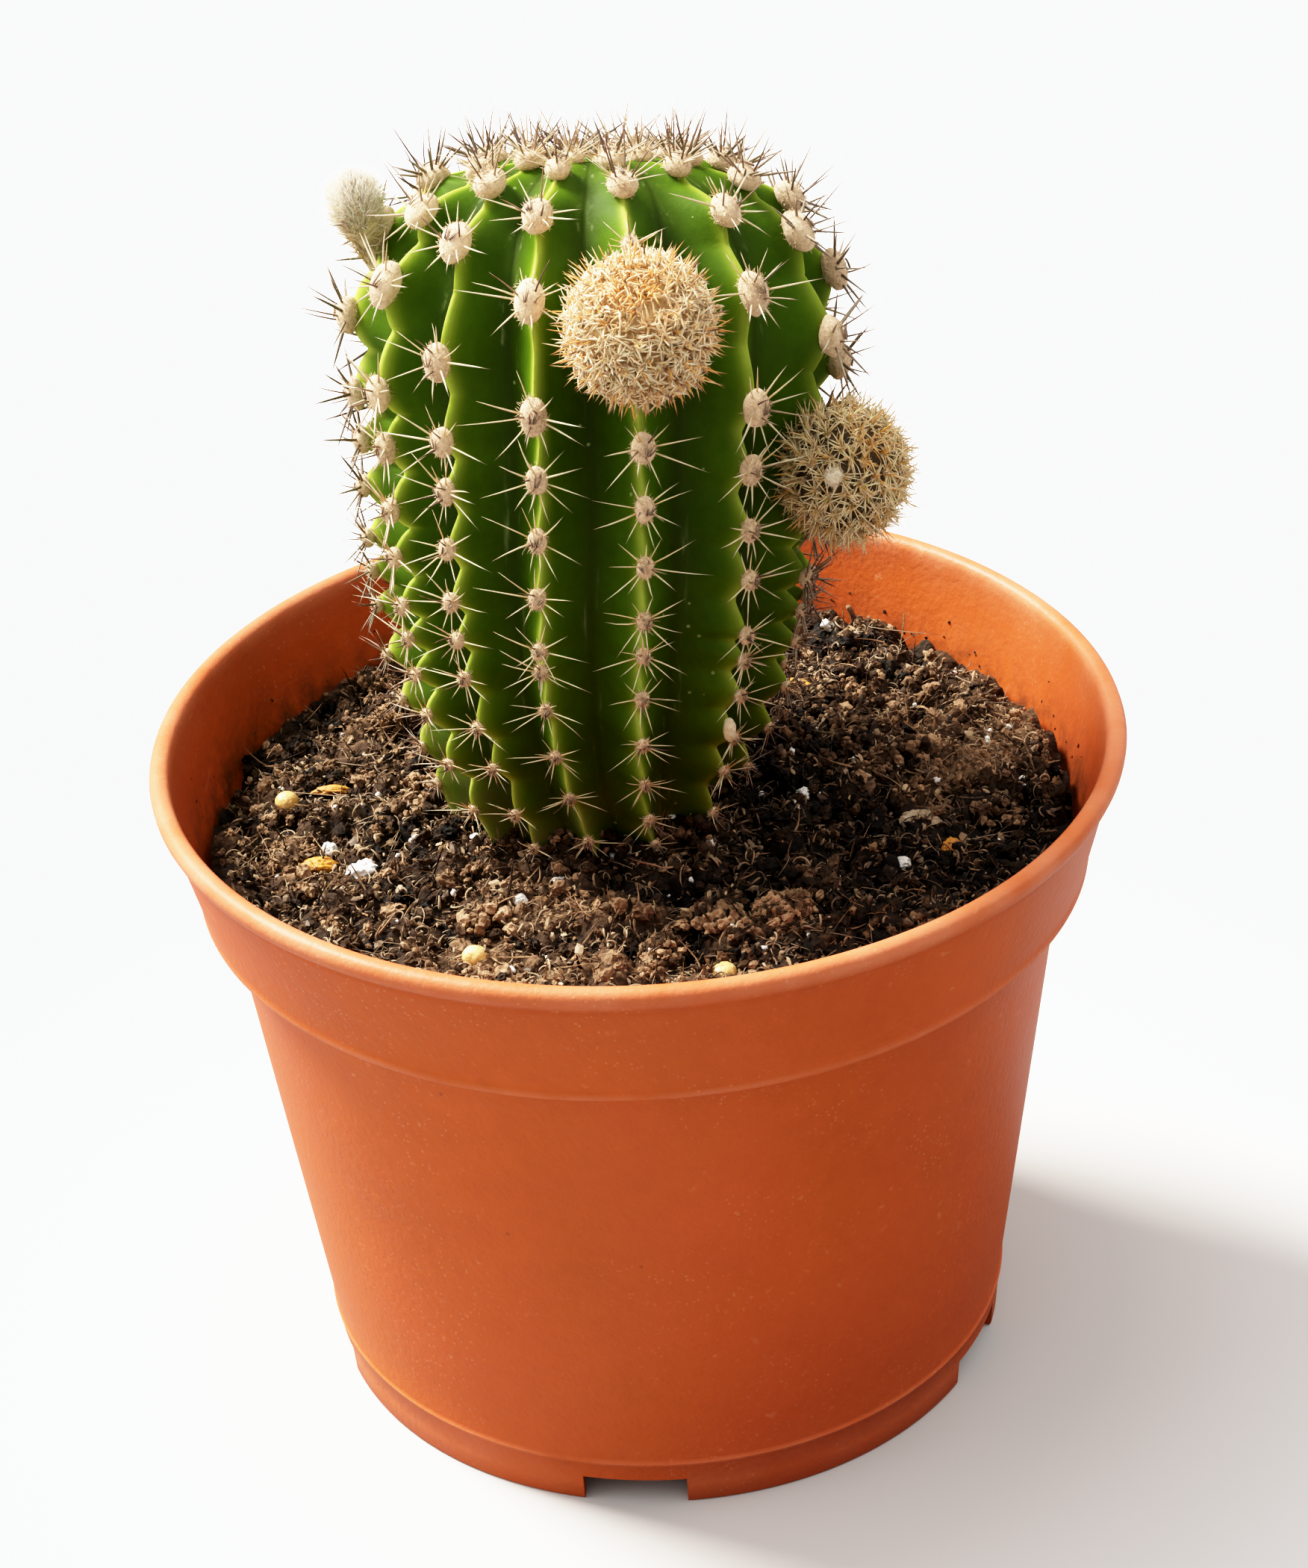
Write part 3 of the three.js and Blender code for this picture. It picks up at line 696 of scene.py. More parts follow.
def dry_fibre():
    nodes = Finish("dry_fibre", Roughness=0.7)
    level = nodes.math("ADD", nodes.mark("shade"), nodes.patches(0.3, 0.7, 900.0, to=(-0.2, 0.2)))
    nodes.paint(nodes.mix(level, (0.05, 0.026, 0.013), (0.42, 0.29, 0.17)))


def stem_skin():
    nodes = Finish(
        "stem_skin", Subsurface_Weight=0.2, Subsurface_Scale=0.0014, Subsurface_Radius=(1.1, 1.6, 0.25),
        Specular_IOR_Level=0.4, IOR=1.2,
    )
    shade = nodes.group(mottle, Coarse=90.0, Fine=700.0, Fine_Share=0.25)
    body = nodes.mix(nodes.remap(shade, 0.3, 0.7), (0.036, 0.078, 0.003), (0.066, 0.126, 0.005))
    # painted shade: darker down in the grooves between the ribs
    body = nodes.tint(body, (0.02, 0.033, 0.003), 0.72, nodes.mark("valley"))
    # the crests' own yellow-green, with a painted glow of light shining through and painted light on the
    # sunlit ribs
    body = nodes.tint(body, (0.14, 0.215, 0.01), 0.8, nodes.mark("crest"))
    broken = nodes.patches(0.25, 0.6, 240.0, to=(0.4, 0.85))
    # a thin pale line along each crest, with painted light that is stronger on the sunlit ribs
    body = nodes.tint(body, (0.4, 0.46, 0.09), 1.0, nodes.mark("line"), broken)
    streaks = nodes.patches(0.56, 0.72, 700.0, 3.0, 0.6, nodes.place(Scale=(1.0, 1.0, 0.12)))
    body = nodes.tint(body, (0.3, 0.36, 0.16), 0.5, streaks, nodes.mark("scar"))
    body = nodes.tint(body, (0.4, 0.5, 0.22), 0.4, nodes.group(specks, Scale=700.0, Size=0.16, Few=0.86))
    body = nodes.tint(
        body, (0.16, 0.13, 0.05), 0.7, nodes.mark("age"), nodes.patches(0.35, 0.65, 160.0, 4.0)
    )
    normal = nodes.bump(nodes.group(grain, Scale=1800.0, Waves=260.0), 0.25)
    nodes.paint(body, normal, nodes.remap(shade, 0.3, 0.7, 0.52, 0.64))


def horn(name, straw, pale, gold, dark):
    """Horny spines: dull at the foot, paler along, with the marks gold and dark."""
    nodes = Finish(name, Roughness=0.5, Subsurface_Weight=0.2, Subsurface_Scale=0.0005)
    along = nodes.mark("along")
    streak = nodes.patches(0.3, 0.7, 1600.0, to=(-0.25, 0.25))
    body = nodes.mix(nodes.math("ADD", along, streak), straw, pale)
    body = nodes.mix(nodes.mark("gold"), body, gold)
    body = nodes.mix(nodes.mark("dark"), body, dark)
    nodes.paint(nodes.mix(nodes.remap(along, 0.6, 1.0, 0.0, 0.65), body, dark))


def wool_finish(name, light, deep):
    nodes = Finish(name, Roughness=0.95, Sheen_Weight=0.1, Sheen_Roughness=0.5)
    fuzz = nodes.noise(2600.0, 3.0, 0.7)
    level = nodes.math("ADD", nodes.mark("shade"), nodes.remap(fuzz, 0.3, 0.7, -0.28, 0.28))
    nodes.paint(nodes.mix(level, deep, light), nodes.bump(fuzz, 0.5))


def mineral(name, roughness, light, deep, **values):
    """Grit, bark, husk or skin: two colours in fine patches over a grain."""
    nodes = Finish(name, Roughness=roughness, **values)
    shade = nodes.group(mottle, Coarse=500.0, Fine=2400.0, Fine_Share=0.5)
    body = nodes.mix(nodes.remap(shade, 0.35, 0.65), deep, light)
    nodes.paint(body, nodes.bump(nodes.group(grain, Scale=3000.0, Waves=900.0), 0.6))


pot_plastic()
peat()
dry_fibre()
stem_skin()
horn("spine_straw", (0.64, 0.5, 0.28), (0.9, 0.8, 0.58), (0.66, 0.34, 0.04), (0.07, 0.042, 0.034))
horn("spine_cream", (0.87, 0.64, 0.36), (0.98, 0.84, 0.6), (0.74, 0.36, 0.09), (0.14, 0.07, 0.035))
horn("spine_tan", (0.72, 0.54, 0.27), (0.98, 0.86, 0.6), (0.66, 0.33, 0.06), (0.13, 0.07, 0.04))
horn("bud_hair", (0.88, 0.74, 0.46), (1.0, 0.95, 0.84), (0.5, 0.34, 0.16), (1.0, 0.95, 0.86))
wool_finish("areole_wool", (0.85, 0.63, 0.41), (0.26, 0.145, 0.075))
wool_finish("tuft_wool", (0.92, 0.8, 0.6), (0.5, 0.38, 0.25))
mineral("offset_skin", 0.7, (0.16, 0.11, 0.05), (0.03, 0.02, 0.01))
mineral("offset_fleece", 0.9, (0.8, 0.57, 0.3), (0.4, 0.26, 0.12))
mineral("bud_skin", 0.8, (0.9, 0.76, 0.5), (0.5, 0.36, 0.18))
mineral("perlite", 0.85, (0.93, 0.91, 0.86), (0.62, 0.58, 0.52))
mineral("pellet", 0.35, (0.86, 0.6, 0.25), (0.6, 0.34, 0.09), Subsurface_Weight=0.3, Subsurface_Scale=0.001)
mineral("bark", 0.6, (0.72, 0.31, 0.035), (0.38, 0.12, 0.015))
mineral("chip", 0.85, (0.5, 0.38, 0.25), (0.22, 0.15, 0.09))
mineral("twig", 0.85, (0.24, 0.13, 0.065), (0.07, 0.035, 0.02))
mineral("husk", 0.5, (0.82, 0.74, 0.52), (0.58, 0.46, 0.27))


# ---- pot


def cut_away(made, work):
    """Takes a bmesh shape out of a finished piece."""
    tool = linked("cutter", bpy.data.meshes.new("cutter"))
    work.to_mesh(tool.data)
    work.free()
    cut = made.modifiers.new("cut", "BOOLEAN")
    cut.operation = "DIFFERENCE"
    cut.object = tool
    cut.solver = "EXACT"
    bpy.context.view_layer.update()
    evaluated = made.evaluated_get(bpy.context.evaluated_depsgraph_get())
    fresh = bpy.data.meshes.new_from_object(evaluated)
    made.modifiers.clear()
    made.data = fresh
    bpy.data.objects.remove(tool)


def pot():
    body = lathe(POT_OUTSIDE[1:] + POT_INSIDE[:-1], POT_SIDES)
    uneven = lumpy(body, 34, 5)[..., None] * 0.14 * unit(body * (1, 1, 0))
    body = body + uneven * np.clip((body[..., 2:] - 20) / 60, 0, 1)
    heights = body[..., 2]
    inside = np.arange(len(body))[:, None] >= len(POT_OUTSIDE) - 1
    # a pale rim, with painted light on the foot band and painted highlights on the edges at the foot and the
    # step
    edge = sum(strength * np.exp(-(((heights - line) / width) ** 2)) for line, width, strength in POT_RIM_AND_PAINTED_LIGHT_LINES)
    # painted sunlight: the inner wall is paler at the right, where the sun falls on it
    edge = edge + 0.2 * inside * np.clip(body[..., 0] / 45, 0, 1)  # the inner wall is paler at the right
    dirt = np.where(inside, np.clip(1 - (heights - SOIL_AT_WALL) / 5, 0, 1), 0)
    made = single(
        "pot_shell", "terracotta_plastic", "terracotta_plastic",
        capped(body, (0, 0, POT_FLOOR_UNDER), (0, 0, POT_FLOOR_TOP)), ["pot"],
        edge=capped_mark(body, np.clip(edge, 0, 1)), dirt=capped_mark(body, dirt),
    )
    for number in range(POT_NOTCH["count"]):
        azimuth = POT_NOTCH["first"] + 360 * number / POT_NOTCH["count"]
        notch = bmesh.new()
        bmesh.ops.create_cube(notch, size=1)
        size = Vector((POT_NOTCH["width"], POT_NOTCH["depth"], 2 * POT_NOTCH["height"])) * MM
        bmesh.ops.scale(notch, vec=size, verts=notch.verts)
        turn = Quaternion((0, 0, 1), math.radians(azimuth)).to_matrix()
        bmesh.ops.rotate(notch, matrix=turn, verts=notch.verts)
        drain = bmesh.new()
        radius = POT_DRAIN["radius"] * MM
        bmesh.ops.create_cone(
            drain, cap_ends=True, segments=32, radius1=radius, radius2=radius, depth=POT_DRAIN["depth"] * MM
        )
        for work, ring in ((notch, POT_NOTCH["ring"]), (drain, POT_DRAIN["ring"])):
            bmesh.ops.translate(work, vec=Vector(outward(azimuth) * ring * MM), verts=work.verts)
            cut_away(made, work)
    made.data.set_sharp_from_angle(angle=math.radians(POT_SHARP))


# ---- stem

stem_rows = spline_points(STEM_OUTLINE, STEM_ROWS)
widest_row = int(np.argmax(stem_rows[:, 0]))
top_row = int(np.argmax(stem_rows[:, 1]))


def crest_radius(rows):
    return np.interp(rows, np.arange(STEM_ROWS), stem_rows[:, 0])


def height_of(rows):
    return np.interp(rows, np.arange(STEM_ROWS), stem_rows[:, 1])


def row_at_height(height):
    return np.interp(height, stem_rows[:top_row, 1], np.arange(top_row))


def row_on_crown(radius):
    """The row where the crown has this crest radius."""
    rows = np.arange(widest_row, STEM_ROWS)
    return np.interp(-radius, -stem_rows[rows, 0], rows)


def around_stem(rows, azimuths, radii):
    """Points on the leaning stem, at these rows of its outline, azimuths and distances from its middle."""
    heights = height_of(rows)
    twist = BASE_TWIST * np.exp(-np.maximum(heights, 0) / TWIST_REACH)
    angle = np.radians(azimuths + twist)[..., None]
    share = np.clip((heights + STEM_BURIED) / STEM_LENGTH, 0, 1)[..., None]
    first, second, third = STEM_LINE
    middle = (1 - share) ** 2 * first + 2 * share * (1 - share) * second + share**2 * third
    up = unit((1 - share) * (second - first) + share * (third - second))
    right = unit(np.cross((0.0, 1.0, 0.0), up))
    back = np.cross(up, right)
    return middle + radii[..., None] * (right * np.sin(angle) - back * np.cos(angle))


def swayed(azimuths, rows):
    """The azimuths with the ribs' slight sway at these rows."""
    sway = RIB_SWAY * np.sin(rows / 21 + np.radians(azimuths) * 3)
    return azimuths + sway * np.clip(crest_radius(rows) / 20, 0, 1)


def rib_areoles(rib):
    """The outline rows of a rib's areoles, from the soil up to the crown."""
    rng = np.random.default_rng(100 + rib)
    odd = rib % 2 == 1
    heights = np.array(AREOLES_ODD if odd else AREOLES_EVEN, float)
    heights[:-1] += rng.uniform(-0.5, 0.5, len(heights) - 1)
    crown = CROWN_ODD if odd else CROWN_EVEN
    return np.concatenate([row_at_height(heights), [row_on_crown(radius) for radius in crown]])


areole_rows = [rib_areoles(rib) for rib in range(len(RIB_AZIMUTHS))]


def swelling(rib, rows):
    """How far the crest stands out, in mm, from the swellings under its areoles."""
    phase = np.interp(rows, areole_rows[rib], np.arange(len(areole_rows[rib]))) - 0.06
    lobed = LOBED[rib]
    wave = (1 - lobed) * (0.5 + 0.5 * np.cos(TAU * phase)) + lobed * np.abs(np.cos(math.pi * phase)) ** 0.8
    size = np.interp(height_of(rows), (-9, 2, 14, 45, 62, 76), (0, 0.9, 1.8, 1.6, 1.4, 1.2))
    size = size * (1 + 0.6 * lobed) * np.clip(crest_radius(rows) / 18, 0, 1)
    return (wave**0.8 - 0.55 - 0.08 * lobed) * size


def stem():
    rows = np.arange(1, STEM_ROWS - 1)
    base = crest_radius(rows)
    groove_depth = GROOVE_SHARE * np.clip(base / 24, 0.3, 1) ** 0.3
    columns = []
    for rib, azimuth in enumerate(RIB_AZIMUTHS):
        after = (rib + 1) % len(RIB_AZIMUTHS)
        following = RIB_AZIMUTHS[after] + (360 if after == 0 else 0)
        bumps = swelling(rib, rows), swelling(after, rows)
        for step in range(RIB_STEPS):
            share = step / RIB_STEPS
            near = min(share, 1 - share) * 2
            past = share >= 0.5
            groove = math.sin(math.pi * share) ** GROOVE_SHARPNESS
            crease = 0.16 * math.exp(-(((share - 0.5) / 0.035) ** 2))
            knob = bumps[past] * math.exp(-((near / 0.42) ** 2))
            radii = base * (1 - groove_depth * groove) + knob - crease * np.clip(base / 12, 0, 1)
            crest_tone_with_painted_light = CREST_TONE_AND_PAINTED_LIGHT[after if past else rib]
            columns.append((azimuth + (following - azimuth) * share, near, abs(share - 0.5), crest_tone_with_painted_light, radii))
    azimuths, near, from_groove, crest_tone_with_painted_light, radii = (np.array(column) for column in zip(*columns))
    radii = radii.T
    level = rows[:, None]
    flesh = around_stem(level, swayed(azimuths, level), radii)
    flesh = flesh + lumpy(flesh, 9, 3)[..., None] * 0.22 * unit(flesh - np.array((-3, 6, 110)))
    heights = height_of(level)
    crest_width = 0.15 + 0.1 * np.clip(1 - heights / 50, 0, 1)
    low, high = around_stem(np.array([0.0, STEM_ROWS - 1]), np.zeros(2), np.zeros(2))
    single(
        "stem_body", "stem_skin", "stem_skin", capped(flesh, low, high), ["stem"],
        # crest and line: the crests' own colour, with painted light that is stronger on the sunlit ribs
        crest=capped_mark(flesh, crest_tone_with_painted_light * np.exp(-((near / crest_width) ** 2.2)), (0, 0.3)),
        line=capped_mark(flesh, crest_tone_with_painted_light * np.exp(-((near / 0.07) ** 1.6))),
        # painted shade in the grooves
        valley=capped_mark(flesh, np.clip((near - 0.35) / 0.65, 0, 1)),
        scar=capped_mark(flesh, np.exp(-(((from_groove - 0.09) / 0.025) ** 2))),
        age=capped_mark(flesh, np.clip(1 - heights / 16, 0, 1), (1, 0)),
    )


# ---- areoles: wool cushions and their spines


def areole_frame(rib, rows):
    """Where a rib's areoles sit, with their outward, upward and sideways directions."""
    azimuth = swayed(RIB_AZIMUTHS[rib], rows)

    def crest(step=0, turn=0):
        return around_stem(rows + step, azimuth + turn, crest_radius(rows + step))

    side = unit(crest(turn=2) - crest())
    out = unit(np.cross(side, unit(crest(3) - crest(-3))))
    here = around_stem(rows, azimuth, crest_radius(rows) + swelling(rib, rows))
    return here, out, np.cross(out, side), side


def areole_radius(rows):
    wide = np.interp(height_of(rows), (0, 20, 30, 40, 50, 58, 66), (0.65, 0.75, 0.95, 1.15, 1.45, 1.75, 2.0))
    return wide * np.interp(crest_radius(rows) * (rows > widest_row), (0, 4, 9, 20), (1, 0.5, 0.75, 1))


def areoles(rib):
    """One rib's areoles, with all that their cushions and spines start from."""
    rows = areole_rows[rib]
    heights = height_of(rows)
    short = np.where((heights > PUP_COVERED[1]) & (heights < PUP_COVERED[1] + 4) & (rib == FRONT_RIB), 0.6, 1)
    if rib == FRONT_RIB:
        open_to_view = (heights < PUP_COVERED[0]) | (heights > PUP_COVERED[1])
        rows, heights, short = rows[open_to_view], heights[open_to_view], short[open_to_view]
    here, out, up, side = areole_frame(rib, rows)
    radius = areole_radius(rows) * np.where(short < 1, 0.55, 1)
    top = crest_radius(rows) + 99 * (rows < widest_row)  # small only in the middle of the crown
    on_crown = rows > widest_row + CROWN_START
    return [
        SimpleNamespace(
            rib=rib, seed=40 * rib + i, height=heights[i], short=short[i], here=here[i], out=out[i], up=up[i],
            side=side[i], radius=radius[i], top=top[i], on_crown=on_crown[i],
            raised=0.3 if rib in FACING_RIBS else 0.15,
        )
        for i in range(len(rows))
    ]


def round_about(at, turn):
    """Directions round an areole, square to its outward one."""
    return np.cos(turn)[:, None] * at.side + np.sin(turn)[:, None] * at.up


def cushion(wool, rng, at):
    """An oval pad of felt with a darker heart, and loose hairs all over it."""
    axes = np.stack([at.side, at.up, at.out])
    tall = np.interp(at.height, (30, 50, 68, 76), (1.1, 1.3, 1.35, 1.1))
    size = at.radius * rng.uniform(0.94, 1.06) * np.array((0.92, tall, 0.8))
    middle = at.here + at.raised * at.radius * at.out
    points, faces = ball(4)
    uneven = 1 + 0.09 * lumpy(points, 0.7, at.seed) + 0.025 * lumpy(points, 0.25, at.seed + 7)
    heart = np.exp(-((points[:, 0] / 0.25) ** 2) - (points[:, 1] / 0.6) ** 2) * (points[:, 2] > 0)
    shade = 0.75 + 0.8 * (uneven - 1) - 0.4 * heart + rng.uniform(-0.12, 0.08)
    wool.add((points * uneven[:, None] * size) @ axes + middle, faces, shade=shade)
    spots = unit(rng.normal(size=(CUSHION_HAIRS, 3)) + (0, 0, 0.6))
    comb = rng.choice((-1.0, 1.0), CUSHION_HAIRS)[:, None] * (0, 0.8, 0)
    away = unit(spots + comb + stray(rng, 0.35, CUSHION_HAIRS)) @ axes
    lengths = rng.uniform(0.3, 0.8, CUSHION_HAIRS) * (0.5 + 0.3 * at.radius)
    bends = stray(rng, 0.1, CUSHION_HAIRS)
    *hairs, _ = strands((spots * size * 0.97) @ axes + middle, away, lengths, 0.04, bends, 3, 2)
    wool.add(*hairs, shade=rng.uniform(0.6, 1.0, (CUSHION_HAIRS, 1)))


def radial_spines(spines, rng, at):
    """The star of thin spines that spreads over the skin."""
    count = int(rng.integers(9, 13))
    turn = TAU * (np.arange(count) + rng.uniform(-0.4, 0.4, count)) / count + rng.uniform(0, 1)
    lean = rng.uniform(0.1, 0.65, count) + (0.25 if at.on_crown else 0)
    directions = unit(round_about(at, turn) + lean[:, None] * at.out)
    full = np.interp(at.height, (0, 20, 45, 60, 75), (4.6, 5.8, 8.0, 8.8, 7.6))
    full = full * np.interp(at.top, (4, 12, 20), (0.6, 0.8, 1)) * at.short
    lengths = full * (1 - 0.42 * np.abs(np.sin(turn))) * rng.uniform(0.65, 1.12, count)
    feet = at.here + directions * at.radius * 0.4 + at.raised * at.radius * at.out
    thick = np.interp(at.height, (0, 25, 50), (0.08, 0.095, 0.125)) * rng.uniform(0.75, 1.15, count)
    brown = WEATHERED[at.rib]
    stout = brown * np.interp(at.height, (15, 42), (0.1, 1))
    bends = stray(rng, 0.28, count)
    gold = 0.8 * (np.clip(np.sin(turn) + (at.short < 1), 0.1, 1) * rng.uniform(0, 1, count) ** 1.5)
    dull = np.interp(at.height, (5, 32), (0.35, 0.04)) * rng.uniform(0.3, 1, count)
    browned = max(brown, 0.3 if at.on_crown else 0) * rng.uniform(0.85, 1.1, count)
    dark = np.maximum(dull, np.clip(browned, 0, 0.97))
    lengths, thick = lengths * (1 + 0.25 * stout), thick * (1 + 0.75 * stout)
    *star_spines, along = strands(feet, directions, lengths, thick, bends, 5, 3, 0.1 + 0.25 * brown)
    spines.add(*star_spines, along=along, gold=gold[:, None] * (1 - 0.6 * along), dark=dark[:, None])


def pressed_spines(spines, rng, at):
    """A few short dark spines that lie pressed on the cushion."""
    count = int(rng.integers(3, 5))
    sideways = 0.4 * rng.normal() + 0.22 * (np.arange(count) - count / 2 + 0.5)
    sideways = (sideways + rng.normal(scale=0.08, size=count))[:, None]
    directions = at.up + sideways * at.side + 0.12 * at.out
    feet = at.here + (at.raised + 0.92) * at.radius * at.out - 0.25 * at.radius * at.up
    feet = feet + 0.4 * sideways * at.side * at.radius + stray(rng, 0.04, count)
    lengths = at.radius * rng.uniform(0.7, 1.2, count)
    *bundle, _ = strands(feet, directions, lengths, 0.1, -0.2 * at.radius * at.out, 4, 4, 0.4)
    spines.add(*bundle, along=0.3, gold=0.0, dark=rng.uniform(0.6, 1, (count, 1)))


def central_spines(spines, rng, at):
    """The few stouter brown spines that stand out."""
    count = int(rng.integers(3, 5) if at.on_crown else rng.integers(2, 4))
    turn = TAU * (np.arange(count) + rng.uniform(-0.25, 0.25, count)) / count + rng.uniform(0, TAU)
    fan = round_about(at, turn)
    rising = unit(at.out + (0, 0, 0.8 if at.on_crown else 0.3))
    directions = unit(rising + rng.uniform(0.2, 0.6, (count, 1)) * fan)
    lengths = np.interp(at.height, (0, 40, 60, 72), (2.6, 3.4, 5.2, 7)) * rng.uniform(0.75, 1.15, count)
    lengths = lengths * np.interp(at.top, (4, 16), (0.6, 1)) * at.short
    feet = at.here + (0.6 * at.out + 0.45 * fan) * at.radius
    thick = np.interp(at.height, (30, 60), (0.11, 0.135))
    *fan_spines, along = strands(
        feet, directions, lengths, thick, stray(rng, 0.4, count), 5, 4
    )
    behind = abs(RIB_AZIMUTHS[at.rib]) > 100
    brown = rng.uniform(0.75, 1, count) * (0.5 if behind and at.on_crown else 1)
    spines.add(*fan_spines, along=along, gold=0.1, dark=brown[:, None])


def wool_and_spines(rib):
    rng = np.random.default_rng(300 + rib)
    wool = Piece("shade")
    spines = Piece("along", "gold", "dark")
    found = areoles(rib)
    for at in found:
        cushion(wool, rng, at)
    for at in found:
        radial_spines(spines, rng, at)
        pressed_spines(spines, rng, at)
        central_spines(spines, rng, at)
    wool.build(f"rib_{rib + 1:02d}_wool", "areole_wool", [f"areole_crown_{rib + 1}"])
    spines.build(f"rib_{rib + 1:02d}_spines", "spine_straw")


# ---- offsets and bud


def spiral_points(count):
    """Evenly spread directions, in the spiral order that such plants grow in, from the apex down."""
    index = np.arange(count) + 0.5
    height = 1 - 2 * index / count
    turn = index * math.pi * (3 - math.sqrt(5))
    flat = np.sqrt(1 - height**2)
    return np.column_stack([flat * np.cos(turn), flat * np.sin(turn), height])


def offset(name, pup, finish, slot):
    """A spiny ball: a warty skin, with a small cushion and an untidy star of spines on each wart."""
    rng = np.random.default_rng(pup.seed)
    seated = seat(pup.centre, pup.apex, pup.tall)
    places = spiral_points(pup.warts)
    places = unit(places + rng.normal(scale=pup.scatter, size=places.shape))
    skin_radius = pup.radius * pup.skin

    points, faces = ball(6)
    wart = np.exp(-(1 - np.max(points @ places.T, axis=1)) / pup.wart)
    warty = points * (skin_radius * (0.9 + 0.1 * wart) + 0.1 * lumpy(points, 0.2, 4))[:, None]
    single(f"{name}_skin", pup.skin_finish, slot, (warty, faces), [name], seat=seated)

    points, faces = ball(2)
    uneven = points * (1 + 0.25 * lumpy(points, 0.6, 9))[:, None]
    sizes = pup.cushion * rng.uniform(0.7, 1.3, len(places))
    cushions = copies(uneven, faces, random_turns(rng, len(places)), sizes, places * (skin_radius + 0.1))
    single(f"{name}_wool", "areole_wool", "areole_wool", cushions, seat=seated, shade=0.75)

    spines = Piece("along", "gold", "dark", seat=seated)
    for kind in pup.stars:
        normal = np.repeat(places, kind.count, axis=0)
        total = len(normal)
        side, up = frames_of(normal)
        from_apex = np.degrees(np.arccos(np.clip(normal[:, 2], -1, 1)))
        kept = from_apex < kind.down_to
        angle = rng.uniform(0, TAU, total)
        lean = rng.uniform(*kind.lean, total)
        directions = np.cos(angle)[:, None] * side + np.sin(angle)[:, None] * up + lean[:, None] * normal
        young = np.clip(1 - from_apex / pup.young, 0, 1)
        rim = np.clip((from_apex - 75) / 30, 0, 1)
        lengths = kind.length * rng.uniform(0.55, 1.2, total) * (1 - 0.4 * young)
        gold = kind.gold + 1.1 * young + pup.rim_gold * rim
        gold = np.clip(gold * rng.uniform(0.3, 1.2, total), 0, 1)
        dark = kind.dark * rng.uniform(0.2, 1, total) + 0.5 * np.clip(young - 0.55, 0, 1)
        foot = normal * (skin_radius + kind.sunk) + stray(rng, kind.spread, total)
        bends = kind.droop * normal + stray(rng, kind.curl, total)
        *made, along = strands(
            foot[kept], directions[kept], lengths[kept], kind.thick, bends[kept], 4, 3, kind.blunt
        )
        tips = np.clip((along - kind.dark_from) / 0.2, 0, 1)
        spines.add(
            *made, along=along, gold=gold[kept][:, None], dark=np.clip(dark[kept], 0, 1)[:, None] * tips
        )
    spines.build(f"{name}_spines", finish)


def tuft():
    """The small woolly growing point that shows between the right offset's spines."""
    rng = np.random.default_rng(57)
    points, faces = ball(3)
    radius, hairs = TUFT["radius"], TUFT["hairs"]
    wool = Piece("shade")
    core = points * radius * 0.8 * (1 + 0.2 * lumpy(points, 0.6, 3))[:, None]
    wool.add(core + TUFT["centre"], faces, shade=1)
    spots = unit(rng.normal(size=(hairs, 3)))
    lengths = rng.uniform(0.15, 0.5, hairs)
    bends = stray(rng, 0.15, hairs)
    *fuzz, _ = strands(spots * radius * 0.75 + TUFT["centre"], spots, lengths, 0.04, bends, 3, 2)
    wool.add(*fuzz, shade=1)
    wool.build("pup_right_tuft", "tuft_wool")


def flower_bud():
    rng = np.random.default_rng(61)
    seated = seat(BUD_FOOT, BUD_TIP - BUD_FOOT)
    outline = spline_points(BUD_OUTLINE, BUD_ROWS)
    shape = lathe(outline, BUD_SIDES)
    shape = shape + 0.16 * lumpy(shape, 1.1, 2)[..., None] * unit(shape * (1, 1, 0.1))
    core = capped(shape, (0, 0, BUD_OUTLINE[0][1] - 0.1), (0, 0, BUD_OUTLINE[-1][1] + 0.1))
    single("bud_core", "bud_skin", "bud_hair", core, ["flower_bud"], seat=seated)

    place = rng.uniform(0.02, 1, BUD_HAIRS) ** 0.75 * (BUD_ROWS - 1)
    width = np.interp(place, np.arange(BUD_ROWS), outline[:, 0])
    height = np.interp(place, np.arange(BUD_ROWS), outline[:, 1])
    turns = rng.uniform(0, TAU, BUD_HAIRS)
    flat = np.column_stack([np.cos(turns), np.sin(turns), np.zeros(BUD_HAIRS)])
    feet = flat * width[:, None] * 0.92 + np.column_stack([np.zeros((BUD_HAIRS, 2)), height])
    burst = unit(feet - (0, 0, 5.5))
    loose = np.interp(height, (0, 4, 7, 9), (0.1, 0.22, 0.55, 0.9))[:, None]
    directions = burst * loose + (0, 0, 0.75) * (1 - 0.6 * loose)
    directions = directions + stray(rng, 0.2, BUD_HAIRS)
    lengths = np.interp(height, (0, 4, 7, 10), (2.9, 3.1, 2.7, 2.2)) * rng.uniform(0.45, 1.25, BUD_HAIRS)
    bends = stray(rng, 0.4, BUD_HAIRS)
    *hairs, along = strands(feet, directions, lengths, 0.055, bends, 3, 4)
    pale = np.interp(height, (0, 3, 6, 8), (0.1, 0.4, 0.8, 1)) + rng.uniform(-0.4, 0.25, BUD_HAIRS)
    pale = np.clip(pale, 0, 1)[:, None]
    single(
        "bud_hair", "bud_hair", "bud_hair", hairs, seat=seated,
        along=np.clip(along * 0.35 + pale * 0.7, 0, 0.79), gold=np.clip(0.85 - pale, 0, 0.8), dark=0.0,
    )


# ---- soil


def soil_height(x, y):
    near_stem = np.hypot(x - STEM_FOOT[0], y - STEM_FOOT[1]) / SOIL_MOUND["spread"]
    mound = SOIL_MOUND["height"] * np.exp(-(near_stem**2))
    ripple = (
        np.sin(SOIL_RIPPLE["along_x"] * x) * np.cos(SOIL_RIPPLE["along_y"] * y)
        + np.sin(SOIL_RIPPLE["across"] * (x - y)) / 2
    )
    return SOIL_AT_WALL + mound + SOIL_RIPPLE["height"] * ripple + SOIL_TILT * x


